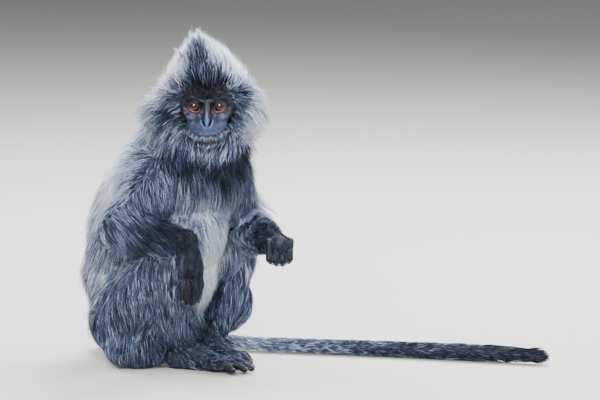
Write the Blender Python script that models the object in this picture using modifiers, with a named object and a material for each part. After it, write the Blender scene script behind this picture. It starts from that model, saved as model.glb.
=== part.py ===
"""An adult silvered langur, life size, seated on its rump with its forearms on its knees.

The trunk faces the front right, the head is turned to the front, and the tail lies along the floor.
Units are metres, +Z is up. The origin is on the floor under the rump, -Y is where the face looks
and +X is the way the tail runs. Every solid reaches out to the tips of the coat.
"""

import math

import bmesh
import bpy
from mathutils import Matrix, Vector

# ---- Driving dimensions -------------------------------------------------------------------------
# Joint centres of the pose. "right" and "left" are the animal's own sides.

HIP = {"right": Vector((-0.022, -0.040, 0.058)), "left": Vector((0.022, 0.042, 0.062))}
KNEE = {"right": Vector((0.042, -0.146, 0.158)), "left": Vector((0.151, 0.066, 0.134))}
ANKLE = {"right": Vector((0.066, -0.068, 0.031)), "left": Vector((0.104, -0.012, 0.029))}
TOES = {"right": Vector((0.164, -0.116, 0.008)), "left": Vector((0.160, -0.076, 0.008))}
SHOULDER = {"right": Vector((0.031, -0.101, 0.258)), "left": Vector((0.124, -0.018, 0.262))}
ELBOW = {"right": Vector((-0.018, -0.188, 0.210)), "left": Vector((0.155, 0.046, 0.178))}
WRIST = {"right": Vector((0.078, -0.138, 0.188)), "left": Vector((0.194, -0.060, 0.179))}

# The long-haired back of each thigh, as a centre and radii.
HAUNCH = {
    "right": (Vector((0.006, -0.062, 0.042)), (0.058, 0.036, 0.050)),
    "left": (Vector((0.124, 0.050, 0.078)), (0.047, 0.033, 0.053)),
}
# Which way the palm, the fingers and their last joints point, and which way the hand's back faces.
HAND_WAYS = {
    "right": (
        Vector((0.08, -0.02, -1.0)).normalized(),
        Vector((0.10, -0.10, -1.0)).normalized(),
        Vector((-0.12, 0.05, -1.0)).normalized(),
        Vector((0.55, -0.83, 0.0)).normalized(),
    ),
    "left": (
        Vector((0.24, -0.97, 0.0)).normalized(),
        Vector((0.0, -0.35, -0.94)).normalized(),
        Vector((0.0, 0.80, -0.60)).normalized(),
        Vector((0.0, -0.12, 0.97)).normalized(),
    ),
}
FINGER_REACH = {"right": 0.028, "left": 0.024}  # the left fingers are curled under

# The face's own frame: its origin lies midway between the eyes, on their front surface.
FACE_ORIGIN = Vector((0.1050, -0.1500, 0.3745))
EYE_SPACING = 0.0349
EYE_RADIUS = 0.0093
EYE_DEPTH = 0.0090  # of an eyeball's centre behind the face's origin

# The tail's control points, from its root inside the rump, round behind the left haunch to its
# tip on the floor, and its radius at each of them.
TAIL_ROUTE = (
    Vector((-0.020, 0.020, 0.046)),
    Vector((-0.058, 0.075, 0.024)),
    Vector((-0.030, 0.150, 0.010)),
    Vector((0.060, 0.140, 0.012)),
    Vector((0.130, 0.070, 0.0115)),
    Vector((0.240, 0.052, 0.0115)),
    Vector((0.371, 0.020, 0.0120)),
    Vector((0.480, -0.012, 0.0130)),
    Vector((0.556, -0.036, 0.0135)),
    Vector((0.577, -0.043, 0.0110)),
)
TAIL_RADII = (0.022, 0.017, 0.013, 0.012, 0.0120, 0.0122, 0.0130, 0.0140, 0.0140, 0.0040)
TAIL_PARTINGS = (0.060, 0.165, 0.270, 0.375, 0.480)  # where the visible tail is parted, along X

# Ears: centre from the face's origin (across, deep, high) and radii; only their hair shows.
EAR_PLACE = (0.057, 0.048, 0.014)
EAR_RADII = (0.017, 0.009, 0.015)

# Planes that part the trunk and the crest, each as a place and the way to the outer piece.
SPINE = (SHOULDER["right"] + SHOULDER["left"] - HIP["right"] - HIP["left"]).normalized()
BELLY_CUT = (Vector((0.016, -0.016, 0.098)), SPINE)
CHEST_CUT = (Vector((0.044, -0.040, 0.186)), SPINE)
NECK_CUT = (Vector((0.076, -0.060, 0.272)), SPINE)
CREST_CUT = (Vector((0.095, -0.100, 0.428)), Vector((-0.25, 0.0, 1.0)))
RUFF_CUT = 0.052  # from the middle of the face to where the cheek ruffs begin

FLOOR = Vector((0.0, 0.0, 0.0))
DOWN = Vector((0.0, 0.0, -1.0))
GAP = 0.0003  # clearance between neighbouring solids

SILVER = (0.30, 0.31, 0.34)
SLATE = (0.12, 0.125, 0.15)
BLACK = (0.020, 0.020, 0.025)
BELLY = (0.36, 0.35, 0.34)
SKIN = (0.13, 0.13, 0.17)
AMBER = (0.20, 0.06, 0.015)

SIDES = ("right", "left")
TO_THE_LEFT = {"right": -1.0, "left": 1.0}  # the sign of X on each side of the face


# ---- Modelling clay: rough forms that are fused into one smooth body ---------------------------


def turned(yaw):
    """Turns a form that faces -Y towards its own left, by degrees."""
    return Matrix.Rotation(math.radians(yaw), 4, "Z")


def between(start, end, share):
    """A place a share of the way from start to end."""
    return start.lerp(end, share)


def add_ball(clay, place, radii, turn=Matrix.Identity(4)):
    """Adds a ball, or an ellipsoid with radii across, deep and high."""
    if isinstance(radii, float):
        radii = (radii, radii, radii)
    shape = Matrix.Translation(place) @ turn @ Matrix.Diagonal((*radii, 1.0))
    bmesh.ops.create_uvsphere(clay, u_segments=24, v_segments=16, radius=1.0, matrix=shape)


def add_taper(clay, start, end, start_radius, end_radius):
    """Adds a cone frustum between two places."""
    run = end - start
    lie = run.to_track_quat("Z", "Y").to_matrix().to_4x4()
    bmesh.ops.create_cone(
        clay,
        cap_ends=True,
        segments=24,
        radius1=start_radius,
        radius2=end_radius,
        depth=run.length,
        matrix=Matrix.Translation((start + end) / 2) @ lie,
    )


def add_limb(clay, stations):
    """Adds a chain of round joints with tapered lengths between them, from (place, radius) pairs."""
    for place, radius in stations:
        add_ball(clay, place, radius)
    for (start, start_radius), (end, end_radius) in zip(stations, stations[1:]):
        add_taper(clay, start, end, start_radius, end_radius)


def new_object(name, mesh):
    """Puts a mesh into the scene as an object."""
    body = bpy.data.objects.new(name, mesh)
    bpy.context.scene.collection.objects.link(body)
    return body


def bake(body):
    """Replaces an object's mesh by its evaluated mesh and drops its modifiers."""
    seen = body.evaluated_get(bpy.context.evaluated_depsgraph_get())
    mesh = bpy.data.meshes.new_from_object(seen)
    body.modifiers.clear()
    body.data = mesh


def edit(body, work):
    """Runs an edit on an object's mesh."""
    mesh = bmesh.new()
    mesh.from_mesh(body.data)
    work(mesh)
    mesh.to_mesh(body.data)
    mesh.free()


def fuse(name, clay, voxel, rounds, triangles):
    """Fuses clay into one smooth body of about so many triangles."""
    mesh = bpy.data.meshes.new(name)
    clay.to_mesh(mesh)
    clay.free()
    body = new_object(name, mesh)
    remesh = body.modifiers.new("fuse", "REMESH")
    remesh.mode = "VOXEL"
    remesh.voxel_size = voxel
    soften = body.modifiers.new("soften", "SMOOTH")
    soften.factor = 0.5
    soften.iterations = rounds
    bake(body)
    thin = body.modifiers.new("thin", "DECIMATE")
    thin.ratio = triangles / (2 * len(body.data.polygons))
    bake(body)
    keep_largest(body)
    return body


# ---- Parting --------------------------------------------------------------------------------------


def islands(mesh):
    """Lists a bmesh's connected pieces, each as a set of vertices."""
    left = set(mesh.verts)
    found = []
    while left:
        front = [left.pop()]
        piece = set(front)
        while front:
            for edge in front.pop().link_edges:
                for vertex in edge.verts:
                    if vertex in left:
                        left.remove(vertex)
                        piece.add(vertex)
                        front.append(vertex)
        found.append(piece)
    return found


def keep_largest(body):
    """Drops the crumbs that a cut leaves."""

    def work(mesh):
        pieces = sorted(islands(mesh), key=len)
        crumbs = [vertex for piece in pieces[:-1] for vertex in piece]
        bmesh.ops.delete(mesh, geom=crumbs, context="VERTS")

    edit(body, work)


def cut(body, place, outward):
    """Cuts off what lies beyond a plane and closes the cut with a flat face."""

    def work(mesh):
        everything = mesh.verts[:] + mesh.edges[:] + mesh.faces[:]
        bmesh.ops.bisect_plane(
            mesh, geom=everything, dist=1e-6, plane_co=place, plane_no=outward, clear_outer=True
        )
        rim = [edge for edge in mesh.edges if edge.is_boundary]
        bmesh.ops.triangle_fill(mesh, edges=rim, use_beauty=True, normal=outward)
        bmesh.ops.recalc_face_normals(mesh, faces=mesh.faces[:])

    edit(body, work)
    keep_largest(body)


def split(body, name, place, outward):
    """Parts a body at a plane: what lies beyond it becomes a new object of that name."""
    outward = outward.normalized()
    beyond = new_object(name, body.data.copy())
    cut(body, place - outward * GAP / 2, outward)
    cut(beyond, place + outward * GAP / 2, -outward)
    return beyond


def carve(body, neighbours):
    """Clears a body away from its neighbours, by the gap."""
    for neighbour in neighbours:
        swollen = new_object("cutter", neighbour.data.copy())
        swell = swollen.modifiers.new("swell", "DISPLACE")
        swell.strength = 1.5 * GAP
        swell.mid_level = 0.0
        bake(swollen)
        clear = body.modifiers.new("clear", "BOOLEAN")
        clear.operation = "DIFFERENCE"
        clear.object = swollen
        bake(body)
        bpy.data.objects.remove(swollen)
        keep_largest(body)


def finish(body, name, colour, roughness=0.8):
    """Names a finished solid, colours it and moves it into the model's collection."""
    body.name = name
    material = bpy.data.materials.new(name)
    material.use_nodes = True
    shader = material.node_tree.nodes["Principled BSDF"]
    shader.inputs["Base Color"].default_value = (*colour, 1.0)
    shader.inputs["Roughness"].default_value = roughness
    shader.inputs["Metallic"].default_value = 0.0
    body.data.materials.clear()
    body.data.materials.append(material)
    body.data.shade_smooth()
    body.data.set_sharp_from_angle(angle=math.radians(50))
    bpy.context.scene.collection.objects.unlink(body)
    bpy.data.collections["silvered_langur"].objects.link(body)


# ---- Trunk and head hair ------------------------------------------------------------------------


def model_trunk():
    """Rump, pot belly, hunched back, chest, nape, groin and the cape of hair on the shoulders."""
    clay = bmesh.new()
    add_ball(clay, Vector((0.006, -0.006, 0.062)), (0.056, 0.070, 0.070), turned(62))
    add_ball(clay, Vector((0.022, -0.020, 0.124)), (0.078, 0.106, 0.076), turned(56))
    add_ball(clay, Vector((0.034, -0.032, 0.190)), (0.084, 0.112, 0.078), turned(50))
    add_ball(clay, Vector((0.033, -0.026, 0.232)), (0.086, 0.084, 0.066), turned(45))
    add_ball(clay, Vector((0.068, -0.053, 0.258)), (0.116, 0.085, 0.056), turned(40))
    add_ball(clay, Vector((0.076, -0.060, 0.298)), (0.098, 0.076, 0.052), turned(20))
    add_ball(clay, Vector((0.128, -0.036, 0.284)), (0.052, 0.052, 0.056))
    add_ball(clay, Vector((0.090, -0.040, 0.326)), (0.070, 0.046, 0.046))
    add_ball(clay, Vector((0.112, 0.024, 0.146)), (0.042, 0.034, 0.044))
    add_ball(clay, Vector((0.061, -0.028, 0.056)), (0.039, 0.041, 0.038))
    return fuse("trunk", clay, 0.006, 22, 940)


def model_head():
    """The disc of hair round the face, the dome over the brows and the pointed crest."""
    clay = bmesh.new()
    add_ball(clay, Vector((0.100, -0.086, 0.357)), (0.095, 0.058, 0.050))
    add_ball(clay, Vector((0.102, -0.086, 0.386)), (0.069, 0.058, 0.042))
    add_ball(clay, Vector((0.100, -0.088, 0.410)), (0.050, 0.052, 0.037))
    add_ball(clay, Vector((0.098, -0.094, 0.438)), (0.029, 0.036, 0.029))
    for tip in (Vector((0.088, -0.106, 0.480)), Vector((0.074, -0.104, 0.474)), Vector((0.058, -0.104, 0.453))):
        add_taper(clay, between(tip, Vector((0.110, -0.090, 0.410)), 0.55), tip, 0.018, 0.004)
    return fuse("head", clay, 0.004, 9, 500)


# ---- Face ---------------------------------------------------------------------------------------


def face_point(across, deep, high):
    """A place in the face's frame, in metres."""
    return FACE_ORIGIN + Vector((across, deep, high))


def model_face():
    """Brows, cheeks, nose, muzzle and chin: the bare face."""
    clay = bmesh.new()
    add_ball(clay, face_point(0.0, 0.026, -0.006), (0.036, 0.030, 0.034))
    add_ball(clay, face_point(0.0, 0.008, -0.037), (0.023, 0.027, 0.017))
    for side in (-1, 1):
        brow = [(0.004, 0.0), (0.018, 0.0), (0.030, 0.009)]
        stations = [(face_point(side * across, deep + 0.001, 0.0125), 0.0065) for across, deep in brow]
        add_limb(clay, stations)
        add_ball(clay, face_point(side * 0.024, 0.010, -0.016), (0.012, 0.012, 0.011))
        add_ball(clay, face_point(side * 0.0055, -0.015, -0.026), (0.0045, 0.005, 0.006))
    add_limb(clay, [(face_point(0, 0.004, 0.008), 0.006), (face_point(0, -0.012, -0.022), 0.0065)])
    add_ball(clay, face_point(0.0, 0.006, -0.046), (0.015, 0.016, 0.010))
    face = fuse("face", clay, 0.0016, 3, 460)
    cut(face, face_point(0, 0.030, 0), Vector((0, 1, 0)))
    return face


def new_ball(name, place, radii, subdivisions):
    """A single ball or ellipsoid as an object."""
    clay = bmesh.new()
    shape = Matrix.Translation(place) @ Matrix.Diagonal((*radii, 1.0))
    bmesh.ops.create_icosphere(clay, subdivisions=subdivisions, radius=1.0, matrix=shape)
    mesh = bpy.data.meshes.new(name)
    clay.to_mesh(mesh)
    clay.free()
    return new_object(name, mesh)


def model_eye(side):
    """An eyeball."""
    across = TO_THE_LEFT[side] * EYE_SPACING / 2
    return new_ball("eye", face_point(across, EYE_DEPTH, 0.0), (EYE_RADIUS,) * 3, 2)


def model_ear(side):
    """An ear with its tuft, which just breaks the head's outline."""
    across, deep, high = EAR_PLACE
    return new_ball("ear", face_point(TO_THE_LEFT[side] * across, deep, high), EAR_RADII, 2)


# ---- Limbs --------------------------------------------------------------------------------------


def model_arm(side):
    """Upper arm and forearm, with the fringe of long hair along their backs."""
    shoulder, elbow, wrist = SHOULDER[side], ELBOW[side], WRIST[side]
    clay = bmesh.new()
    stations = [
        (shoulder, 0.038),
        (between(shoulder, elbow, 0.5), 0.034),
        (elbow, 0.030),
        (between(elbow, wrist, 0.35), 0.032),
        (between(elbow, wrist, 0.75), 0.026),
        (wrist, 0.018),
    ]
    add_limb(clay, stations)
    return fuse("arm", clay, 0.004, 4, 340)


def model_leg(side):
    """Thigh and shin, folded at the knee, with the haunch and its long hair on the floor."""
    hip, knee, ankle = HIP[side], KNEE[side], ANKLE[side]
    clay = bmesh.new()
    stations = [
        (hip, 0.042),
        (between(hip, knee, 0.5), 0.040),
        (knee, 0.0215),
        (between(knee, ankle, 0.35), 0.026),
        (between(knee, ankle, 0.75), 0.025),
        (ankle, 0.017),
    ]
    add_limb(clay, stations)
    add_ball(clay, *HAUNCH[side])
    return fuse("leg", clay, 0.004, 6, 480)


def model_foot(side):
    """Heel, long sole, four long toes and the great toe on the inner side."""
    ankle, toes = ANKLE[side], TOES[side]
    ahead = (toes - ankle) * Vector((1, 1, 0))
    ahead.normalize()
    inner = ahead.cross(Vector((0, 0, 1))) * (-1 if side == "right" else 1)
    heel = Vector((ankle.x, ankle.y, 0.016)) - ahead * 0.012
    ball = between(ankle, toes, 0.52) * Vector((1, 1, 0)) + Vector((0, 0, 0.014))
    clay = bmesh.new()
    add_limb(clay, [(ankle, 0.016), (heel, 0.016), (ball, 0.0145)])
    add_taper(clay, ankle, ball, 0.016, 0.013)
    for inward, reach in ((-0.015, -0.018), (-0.006, -0.004), (0.004, 0.0), (0.013, -0.006)):
        knuckle = ball + inner * inward * 0.9
        tip = toes + inner * inward * 1.3 + ahead * reach
        middle = between(knuckle, tip, 0.55) + Vector((0, 0, 0.005))
        add_limb(clay, [(knuckle, 0.010), (middle, 0.0075), (tip, 0.0065)])
    root = between(heel, ball, 0.7) + inner * 0.010
    great = root + inner * 0.014 + ahead * 0.030 - Vector((0, 0, 0.006))
    add_limb(clay, [(root, 0.009), (great, 0.007)])
    return fuse("foot", clay, 0.0025, 2, 320)


def model_hand(side):
    """Palm, short thumb and four long fingers that hang from the knuckles."""
    wrist = WRIST[side]
    palm_way, finger_way, curl_way, back = HAND_WAYS[side]
    across = palm_way.cross(back).normalized()
    clay = bmesh.new()
    palm = wrist + palm_way * 0.036
    add_limb(clay, [(wrist, 0.0145), (palm, 0.0155)])
    for spread, length in ((-0.0125, 0.9), (-0.0042, 1.0), (0.0042, 0.97), (0.012, 0.82)):
        knuckle = palm + across * spread
        bend = knuckle + finger_way * FINGER_REACH[side] * length
        tip = bend + curl_way * FINGER_REACH[side] * 0.9 * length - across * spread * 0.3
        add_limb(clay, [(knuckle, 0.0095), (bend, 0.0075), (tip, 0.0055)])
    thumb = wrist + palm_way * 0.030 + across * 0.018 * TO_THE_LEFT[side] - back * 0.006
    add_limb(clay, [(wrist + palm_way * 0.012, 0.009), (thumb, 0.006)])
    return fuse("hand", clay, 0.0025, 2, 300)


# ---- Tail ---------------------------------------------------------------------------------------


def model_tail():
    """The tail as one bevelled curve, thickest in its last third, with a blunt tuft."""
    line = bpy.data.curves.new("tail", "CURVE")
    line.dimensions = "3D"
    line.bevel_depth = 1.0
    line.bevel_resolution = 2
    line.use_fill_caps = True
    line.resolution_u = 4
    spline = line.splines.new("NURBS")
    spline.points.add(len(TAIL_ROUTE) - 1)
    for point, place, radius in zip(spline.points, TAIL_ROUTE, TAIL_RADII):
        point.co = (*place, 1.0)
        point.radius = radius
    spline.use_endpoint_u = True
    spline.order_u = 4
    body = new_object("tail", line)
    seen = body.evaluated_get(bpy.context.evaluated_depsgraph_get())
    mesh = bpy.data.meshes.new_from_object(seen)
    bpy.data.objects.remove(body)
    tail = new_object("tail", mesh)
    edit(tail, lambda mesh: bmesh.ops.remove_doubles(mesh, verts=mesh.verts[:], dist=1e-5))
    cut(tail, FLOOR, DOWN)
    return tail


# ---- The model ----------------------------------------------------------------------------------


def joint_plane(before, joint, after):
    """Normal of the plane that halves the bend at a joint."""
    return (joint - before).normalized() + (after - joint).normalized()


def main():
    for leftover in list(bpy.data.objects):
        bpy.data.objects.remove(leftover)
    model = bpy.data.collections.new("silvered_langur")
    bpy.context.scene.collection.children.link(model)

    trunk = model_trunk()
    head = model_head()
    face = model_face()
    tail = model_tail()
    legs = {side: model_leg(side) for side in SIDES}
    arms = {side: model_arm(side) for side in SIDES}
    feet = {side: model_foot(side) for side in SIDES}
    hands = {side: model_hand(side) for side in SIDES}
    eyes = {side: model_eye(side) for side in SIDES}
    ears = {side: model_ear(side) for side in SIDES}
    for body in (trunk, *legs.values(), *feet.values()):
        cut(body, FLOOR, DOWN)

    carve(face, eyes.values())
    carve(trunk, [face])
    carve(head, [*ears.values(), face, trunk])
    for side in SIDES:
        carve(legs[side], [trunk])
        carve(arms[side], [trunk, *legs.values()])
        carve(hands[side], [arms[side], *legs.values()])
        carve(feet[side], [trunk, *legs.values()])
    carve(feet["left"], [feet["right"]])
    carve(tail, [trunk, *legs.values(), *feet.values()])

    neck = split(trunk, "neck", *NECK_CUT)
    chest = split(trunk, "chest", *CHEST_CUT)
    belly = split(trunk, "belly", *BELLY_CUT)
    finish(trunk, "rump", SILVER)
    finish(belly, "belly", BELLY)
    finish(chest, "chest", SILVER)
    finish(neck, "neck", SILVER)
    finish(split(head, "crest", *CREST_CUT), "crest", SLATE)
    for side in SIDES:
        place = face_point(TO_THE_LEFT[side] * RUFF_CUT, 0.0, 0.0)
        ruff = split(head, "ruff", place, Vector((TO_THE_LEFT[side], 0.0, 0.0)))
        finish(ruff, f"ruff_{side}", SILVER)
    finish(head, "head", SLATE)
    finish(face, "face", SKIN)
    for side in SIDES:
        knee_plane = joint_plane(HIP[side], KNEE[side], ANKLE[side])
        elbow_plane = joint_plane(SHOULDER[side], ELBOW[side], WRIST[side])
        finish(split(legs[side], "shin", KNEE[side], knee_plane), f"shin_{side}", SLATE)
        finish(split(arms[side], "forearm", ELBOW[side], elbow_plane), f"forearm_{side}", SLATE)
        finish(legs[side], f"thigh_{side}", SILVER)
        finish(arms[side], f"upper_arm_{side}", SILVER)
        finish(feet[side], f"foot_{side}", BLACK)
        finish(hands[side], f"hand_{side}", BLACK)
        finish(ears[side], f"ear_{side}", BLACK, 0.6)
        finish(eyes[side], f"eye_{side}", AMBER, 0.1)
    for number, along in enumerate(TAIL_PARTINGS, start=1):
        rest = split(tail, "tail", Vector((along, 0.0, 0.0)), Vector((1.0, 0.0, 0.0)))
        finish(tail, f"tail_{number}", SILVER)
        tail = rest
    finish(tail, f"tail_{len(TAIL_PARTINGS) + 1}", BLACK)


main()
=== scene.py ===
"""An adult silvered langur at life size, seated on its rump, as a museum model.

The skin is one closed body from crown to tail tip. Over it lies the coat, in thin solid tufts that
follow the lie of the hair. Units are metres, +Z is up and the face looks along -Y.
"""

import math

import bmesh
import bpy
import numpy as np
from mathutils import Matrix, Vector, noise
from mathutils.bvhtree import BVHTree
from mathutils.kdtree import KDTree


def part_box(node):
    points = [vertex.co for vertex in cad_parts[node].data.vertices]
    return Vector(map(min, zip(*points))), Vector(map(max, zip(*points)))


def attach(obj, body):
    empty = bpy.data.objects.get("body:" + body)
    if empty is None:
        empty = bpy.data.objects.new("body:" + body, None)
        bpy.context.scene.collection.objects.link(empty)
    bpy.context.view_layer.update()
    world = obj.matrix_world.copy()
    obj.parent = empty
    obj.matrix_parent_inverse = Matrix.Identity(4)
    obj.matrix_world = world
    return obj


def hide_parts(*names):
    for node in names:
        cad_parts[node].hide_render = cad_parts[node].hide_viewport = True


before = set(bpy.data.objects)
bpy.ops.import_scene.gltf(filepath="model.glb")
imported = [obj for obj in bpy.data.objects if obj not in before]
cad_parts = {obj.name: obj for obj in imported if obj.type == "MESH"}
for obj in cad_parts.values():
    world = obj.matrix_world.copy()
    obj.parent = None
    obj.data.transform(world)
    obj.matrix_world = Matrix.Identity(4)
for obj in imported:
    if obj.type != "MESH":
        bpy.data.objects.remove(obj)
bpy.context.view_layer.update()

# ---- The studio ---------------------------------------------------------------------------------
# A pale matt floor under plain soft lamps: a wide one behind and above that catches the tips of the
# coat, a small one high in front that puts the gleam in the eyes, and even light from all round.

scene = bpy.context.scene
AIM = Vector((0.231, 0.0316, 0.222))  # the point that the camera looks at
CAMERA_AWAY = 6.0
CAMERA_TILT = math.radians(8.0)  # looking down

eye_point = bpy.data.cameras.new("camera")
eye_point.lens = 257.0
eye_point.sensor_width = 36.0
camera = bpy.data.objects.new("camera", eye_point)
camera.location = AIM + CAMERA_AWAY * Vector((0.0, -math.cos(CAMERA_TILT), math.sin(CAMERA_TILT)))
camera.rotation_euler = (math.pi / 2 - CAMERA_TILT, 0.0, 0.0)
scene.collection.objects.link(camera)
scene.camera = camera


def hang_lamp(name, azimuth, elevation, away, width, power, colour):
    """Hangs a soft square lamp round the animal, by degrees, and points it at the animal."""
    light = bpy.data.lights.new(name, "AREA")
    light.shape = "SQUARE"
    light.size = width
    light.energy = power
    light.color = colour
    lamp = bpy.data.objects.new(name, light)
    turn, rise = math.radians(azimuth), math.radians(elevation)
    back = Vector((math.sin(turn) * math.cos(rise), -math.cos(turn) * math.cos(rise), math.sin(rise)))
    lamp.location = Vector((0.10, -0.04, 0.28)) + back * away
    lamp.rotation_euler = (-back).to_track_quat("-Z", "Y").to_euler()
    lamp.visible_camera = False
    scene.collection.objects.link(lamp)
    return lamp


hang_lamp("lamp_front", -6.0, 24.0, 2.6, 1.10, 140.0, (1.0, 0.98, 0.96))
gleam = hang_lamp("lamp_gleam", -8.0, 33.0, 2.6, 1.00, 130.0, (0.94, 0.97, 1.0))
gleam.visible_diffuse = False  # it only puts the gleam in the eyes and the sheen on the coat
hang_lamp("lamp_right", 78.0, 28.0, 2.8, 1.60, 110.0, (0.94, 0.97, 1.0))
hang_lamp("lamp_behind", 150.0, 50.0, 2.6, 1.8, 250.0, (0.94, 0.97, 1.0))
hang_lamp("lamp_side", -122.0, 42.0, 2.8, 1.6, 130.0, (0.90, 0.95, 1.0))

surroundings = bpy.data.worlds.new("studio")
surroundings.use_nodes = True
surroundings.node_tree.nodes["Background"].inputs["Color"].default_value = (0.80, 0.83, 0.88, 1.0)
surroundings.node_tree.nodes["Background"].inputs["Strength"].default_value = 0.32
scene.world = surroundings


def new_material(name, roughness):
    """A Principled material, with its node tree and its shader."""
    material = bpy.data.materials.new(name)
    material.use_nodes = True
    shader = material.node_tree.nodes["Principled BSDF"]
    shader.inputs["Roughness"].default_value = roughness
    return material, material.node_tree, shader


def mesh_from(name, clay):
    """Turns rough forms into a mesh."""
    mesh = bpy.data.meshes.new(name)
    clay.to_mesh(mesh)
    clay.free()
    return mesh


def new_object(name, mesh):
    """Links a new object that holds the mesh."""
    body = bpy.data.objects.new(name, mesh)
    scene.collection.objects.link(body)
    return body


clay = bmesh.new()
bmesh.ops.create_grid(clay, x_segments=2, y_segments=2, size=14.0)
floor = new_object("floor", mesh_from("floor", clay))
floor_material, _, floor_shader = new_material("floor", 0.9)
floor_shader.inputs["Base Color"].default_value = (0.54, 0.52, 0.49, 1.0)
floor.data.materials.append(floor_material)

# ---- The skin: trunk, limbs and tail ------------------------------------------------------------
# The hide over the flesh of trunk, arms, legs and tail, mounted on a padded body. It lies inside the
# solids by the depth of the coat, and it runs without a seam into the head, hands and feet.

SIGN = {"right": -1.0, "left": 1.0}  # of X on each of the animal's own sides
HIP = {"right": Vector((-0.022, -0.040, 0.058)), "left": Vector((0.022, 0.042, 0.062))}
KNEE = {"right": Vector((0.042, -0.146, 0.158)), "left": Vector((0.151, 0.066, 0.134))}
ANKLE = {"right": Vector((0.066, -0.068, 0.031)), "left": Vector((0.104, -0.012, 0.029))}
SHOULDER = {"right": Vector((0.031, -0.101, 0.258)), "left": Vector((0.124, -0.018, 0.262))}
ELBOW = {"right": Vector((-0.018, -0.188, 0.210)), "left": Vector((0.155, 0.046, 0.178))}
WRIST = {"right": Vector((0.078, -0.138, 0.188)), "left": Vector((0.194, -0.060, 0.179))}
HAUNCH = {
    "right": (Vector((0.006, -0.060, 0.038)), (0.042, 0.026, 0.034)),
    "left": (Vector((0.124, 0.050, 0.076)), (0.034, 0.023, 0.039)),
}
TAIL_ROUTE = (
    Vector((-0.020, 0.020, 0.046)),
    Vector((-0.058, 0.075, 0.024)),
    Vector((-0.030, 0.150, 0.010)),
    Vector((0.060, 0.140, 0.012)),
    Vector((0.130, 0.070, 0.0115)),
    Vector((0.240, 0.052, 0.0115)),
    Vector((0.371, 0.020, 0.0120)),
    Vector((0.480, -0.012, 0.0130)),
    Vector((0.556, -0.036, 0.0135)),
    Vector((0.577, -0.043, 0.0110)),
)
TAIL_RADII = (0.016, 0.012, 0.0090, 0.0086, 0.0086, 0.0088, 0.0096, 0.0104, 0.0096, 0.0030)


def ball(clay, place, radii, yaw=0.0):
    """Adds a ball or an ellipsoid with radii across, deep and high, turned by degrees."""
    if isinstance(radii, float):
        radii = (radii, radii, radii)
    turn = Matrix.Rotation(math.radians(yaw), 4, "Z")
    shape = Matrix.Translation(place) @ turn @ Matrix.Diagonal((*radii, 1.0))
    bmesh.ops.create_icosphere(clay, subdivisions=4 if max(radii) > 0.012 else 3, radius=1.0, matrix=shape)


def limb(clay, stations):
    """Adds a chain of round joints with tapered lengths between them, from (place, radius) pairs."""
    for place, radius in stations:
        ball(clay, place, radius)
    for (start, start_radius), (end, end_radius) in zip(stations, stations[1:]):
        run = end - start
        lie = run.to_track_quat("Z", "Y").to_matrix().to_4x4()
        bmesh.ops.create_cone(
            clay,
            cap_ends=True,
            segments=32,
            radius1=start_radius,
            radius2=end_radius,
            depth=run.length,
            matrix=Matrix.Translation((start + end) / 2) @ lie,
        )


def settle(body):
    """Makes a body's modifiers part of its mesh."""
    seen = body.evaluated_get(bpy.context.evaluated_depsgraph_get())
    mesh = bpy.data.meshes.new_from_object(seen)
    body.modifiers.clear()
    body.data = mesh


def fuse(body, voxel, rounds):
    """Makes one smooth closed form of all that a body holds."""
    remesh = body.modifiers.new("fuse", "REMESH")
    remesh.mode = "VOXEL"
    remesh.voxel_size = voxel
    soften = body.modifiers.new("soften", "SMOOTH")
    soften.factor = 0.5
    soften.iterations = rounds
    settle(body)


def mould(name, clay, voxel, rounds):
    """Fuses rough forms into one smooth closed body."""
    body = new_object(name, mesh_from(name, clay))
    fuse(body, voxel, rounds)
    return body


def route_line(name, thick):
    """The tail's route as a curve, thick or bare."""
    line = bpy.data.curves.new(name, "CURVE")
    line.dimensions = "3D"
    line.resolution_u = 6
    spline = line.splines.new("NURBS")
    spline.points.add(len(TAIL_ROUTE) - 1)
    for point, place, radius in zip(spline.points, TAIL_ROUTE, TAIL_RADII):
        point.co = (*place, 1.0)
        point.radius = radius
    spline.use_endpoint_u = True
    spline.order_u = 4
    if thick:
        line.bevel_depth = 1.0
        line.bevel_resolution = 6
        line.use_fill_caps = True
    body = new_object(name, line)
    mesh = bpy.data.meshes.new_from_object(body.evaluated_get(bpy.context.evaluated_depsgraph_get()))
    bpy.data.objects.remove(body)
    return mesh


clay = bmesh.new()
ball(clay, Vector((0.008, -0.006, 0.062)), (0.046, 0.058, 0.057), 62)
ball(clay, Vector((0.022, -0.020, 0.124)), (0.058, 0.084, 0.066), 56)
ball(clay, Vector((0.034, -0.032, 0.190)), (0.062, 0.088, 0.064), 50)
ball(clay, Vector((0.036, -0.028, 0.232)), (0.062, 0.062, 0.052), 45)
ball(clay, Vector((0.068, -0.053, 0.256)), (0.090, 0.058, 0.038), 40)
ball(clay, Vector((0.078, -0.056, 0.290)), (0.054, 0.044, 0.044), 20)
ball(clay, Vector((0.112, 0.028, 0.142)), (0.026, 0.022, 0.030))
ball(clay, Vector((0.064, -0.018, 0.052)), (0.026, 0.030, 0.030))
limb(clay, [(Vector((0.080, -0.050, 0.290)), 0.040), (Vector((0.100, -0.088, 0.360)), 0.034)])
for side in SIGN:
    for joints, radii in (
        ((SHOULDER, ELBOW, WRIST), (0.027, 0.022, 0.0175, 0.0195, 0.0145, 0.0124)),
        ((HIP, KNEE, ANKLE), (0.036, 0.033, 0.0180, 0.0195, 0.0150, 0.0120)),
    ):
        top, bend, end = [joint[side] for joint in joints]
        spots = (top, top.lerp(bend, 0.5), bend, bend.lerp(end, 0.33), bend.lerp(end, 0.72), end)
        limb(clay, list(zip(spots, radii)))
    ball(clay, *HAUNCH[side])
clay.from_mesh(route_line("tail", True))
skin = mould("skin", clay, 0.0028, 10)


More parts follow.
